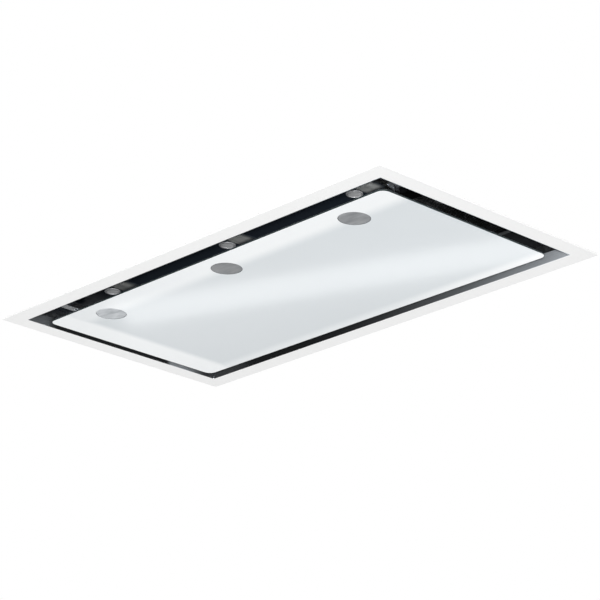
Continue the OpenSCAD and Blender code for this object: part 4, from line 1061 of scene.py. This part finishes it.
# %% Expanded metal
DIAMOND = (13.0, 7.0)
STRAND = 0.75
LAYERS = ((1.1, 0.0), (2.5, 0.5), (3.9, 0.25))
WAVE_LENGTH = 21
WAVE_HEIGHT = 0.5


def expanded_sheet(low, high, level, shift):
    net = bmesh.new()
    cells = math.ceil(max((high.x - low.x) / DIAMOND[0], (high.y - low.y) / DIAMOND[1]) / mm) + 2
    bmesh.ops.create_grid(net, x_segments=2 * cells, y_segments=2 * cells, size=cells * math.sqrt(0.5))
    bmesh.ops.rotate(net, verts=net.verts, matrix=Matrix.Rotation(math.radians(45), 3, "Z"))
    bmesh.ops.scale(net, verts=net.verts, vec=(DIAMOND[0] * mm, DIAMOND[1] * mm, 1))
    centre = (low + high) / 2
    bmesh.ops.translate(net, verts=net.verts, vec=(centre.x + shift * DIAMOND[0] * mm, centre.y, 0))
    for point, normal in ((low, (-1, 0, 0)), (low, (0, -1, 0)), (high, (1, 0, 0)), (high, (0, 1, 0))):
        bmesh.ops.bisect_plane(net, geom=net.verts[:] + net.edges[:] + net.faces[:], plane_co=point,
                               plane_no=normal, clear_outer=True)
    for v in net.verts:
        wave = math.sin(math.tau * (v.co.x / mm + level * 9) / WAVE_LENGTH)
        v.co.z = low.z + (level + WAVE_HEIGHT * wave) * mm
    return net


for side in ("left", "centre", "right"):
    low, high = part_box("filter_mesh_" + side)
    edge = Vector((1, 1, 0)) * STRAND * mm
    stack = gather([(expanded_sheet(low + edge, high - edge, level, shift), AS_IT_IS)
                    for level, shift in LAYERS])
    net = put("expanded_metal_" + side, stack, "filter_mesh_" + side)
    strands = net.modifiers.new("strands", "WIREFRAME")
    strands.thickness = STRAND * mm
    strands.use_boundary = True
    strands.use_even_offset = False

# %% [markdown]
# ## Turned and wound parts of the hidden sides
# The lead runs through a corrugated tube between two nuts, and the supply cable would enter through a
# gland. Both lie along the X axis, so their half sections are spun upright and then laid over.

# %% Lay a turned part along X
def along_x(point):
    return Matrix.Translation(point) @ Matrix.Rotation(math.radians(90), 4, "Y")


def hexagon_nut(radius, height, bore, chamfer):
    nut = hexagon(radius, height)
    nut = bevelled(nut, [edge for edge in nut.edges if level_edge(edge)], chamfer, 2)
    return carved(nut, rod(bore, -1, height + 1, 32))


# %% Corrugated lead tube
TUBE_R = 6
TUBE_BORE = 4.6
GROOVE_R = TUBE_R - 0.9
RIDGE = 3.2
NUT_R = 9
NUT_H = 6

low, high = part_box("lead_conduit")
length = (high.x - low.x) / mm
start = Vector((low.x, (low.y + high.y) / 2, (low.z + high.z) / 2))
section = [(TUBE_BORE, 0), (GROOVE_R, 0), (GROOVE_R, NUT_H)]
for i in range(int((length - 2 * NUT_H) / RIDGE)):
    z = NUT_H + i * RIDGE
    section += [(GROOVE_R, z + 0.5), (TUBE_R - 0.25, z + 0.9), (TUBE_R, z + 1.6), (TUBE_R - 0.25, z + 2.3),
                (GROOVE_R, z + 2.7)]
section += [(GROOVE_R, length), (TUBE_BORE, length)]
nut = hexagon_nut(NUT_R, NUT_H, TUBE_R - 0.8, 0.8)
nut_places = [along_x(start), along_x(Vector((high.x - NUT_H * mm, start.y, start.z)))]
tube = gather([(turned(section, steps=32), nut_places[:1]), (nut, nut_places)])
put("corrugated_tube", tube, "lead_conduit")

# %% Cable gland
GLAND_IN = 6
GLAND_NECK_R = 6
GLAND_R = 8
HEX_H = 5
CABLE_R = 4
THREAD_RINGS = 3
RING_PITCH = 1.2

low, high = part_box("cable_gland")
length = (high.x - low.x) / mm - GLAND_IN
section = [(CABLE_R, -GLAND_IN), (GLAND_NECK_R, -GLAND_IN), (GLAND_NECK_R, 0.2), (GLAND_R - 0.3, 0.2),
           (GLAND_R - 0.3, HEX_H), (GLAND_R, HEX_H + 0.6)]
for i in range(THREAD_RINGS):
    z = HEX_H + 1 + i * RING_PITCH
    section += [(GLAND_R, z), (GLAND_R, z + 0.7), (GLAND_R - 0.35, z + 0.85), (GLAND_R - 0.35, z + 1.1)]
section += [(GLAND_R, length - 1.8), (GLAND_R - 0.8, length - 0.6), (GLAND_R - 2, length),
            (CABLE_R + 0.6, length), (CABLE_R, length - 0.6)]
seat = along_x(Vector((low.x + GLAND_IN * mm, (low.y + high.y) / 2, (low.z + high.z) / 2)))
put("gland_body", gather([(turned(section, steps=40), [seat]),
                          (hexagon_nut(GLAND_R + 2, HEX_H, GLAND_R - 0.6, 0.6),
                           [seat @ Matrix.Rotation(math.radians(30), 4, "Z")])]), "cable_gland")

# %% [markdown]
# Four rubber feet carry the blower. Each is a bellows with a groove round its waist, which lets it give.

# %% Rubber feet
feet = islands("rubber_feet")
low, high = box_of(feet[0])
r, h = (high.x - low.x) / 2 / mm, (high.z - low.z) / mm
section = [(0, 0), (r - 0.8, 0), (r, 0.8), (r, 0.25 * h), (r - 1, 0.34 * h), (r - 2.2, 0.42 * h),
           (r - 2.2, 0.5 * h), (r - 1, 0.6 * h), (r, 0.7 * h), (r, h - 0.8), (r - 0.8, h), (0, h)]
places = [Matrix.Translation((middle(p).x, middle(p).y, low.z)) for p in feet]
put("bellows_feet", gather([(turned(section, steps=32), places)]), "rubber_feet")

# %% [markdown]
# A spring is one small circle of wire that spin carries round and up at once. The step along the axis is
# given by dvec, so all seven turns are a single call.

# %% Flap springs
WIRE_R = 0.45
TURNS = 7
STEPS = TURNS * 20

springs = []
for points in islands("flap_springs"):
    low, high = box_of(points)
    centre = (low + high) / 2
    coil_r = (high.x - low.x) / 2 - WIRE_R * mm
    rise = (high.z - low.z) - 2 * WIRE_R * mm
    coil = bmesh.new()
    bmesh.ops.create_circle(coil, cap_ends=True, segments=8, radius=WIRE_R * mm)
    bmesh.ops.rotate(coil, verts=coil.verts, matrix=Matrix.Rotation(math.radians(90), 3, "X"))
    bmesh.ops.translate(coil, verts=coil.verts, vec=(coil_r, 0, low.z + WIRE_R * mm))
    bmesh.ops.spin(coil, geom=coil.verts[:] + coil.edges[:] + coil.faces[:], cent=(0, 0, 0), axis=(0, 0, 1),
                   dvec=(0, 0, rise / STEPS), angle=TURNS * math.tau, steps=STEPS, use_duplicate=False)
    bmesh.ops.remove_doubles(coil, verts=coil.verts, dist=TINY)
    bmesh.ops.recalc_face_normals(coil, faces=coil.faces)
    springs.append((coil, [Matrix.Translation((centre.x, centre.y, 0))]))
put("wound_springs", gather(springs), "flap_springs")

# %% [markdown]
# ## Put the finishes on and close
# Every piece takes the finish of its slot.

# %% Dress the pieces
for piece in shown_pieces():
    if piece.type == "MESH" and "finish" in piece:
        piece.data.materials.clear()
        piece.data.materials.append(finishes[piece["finish"]])
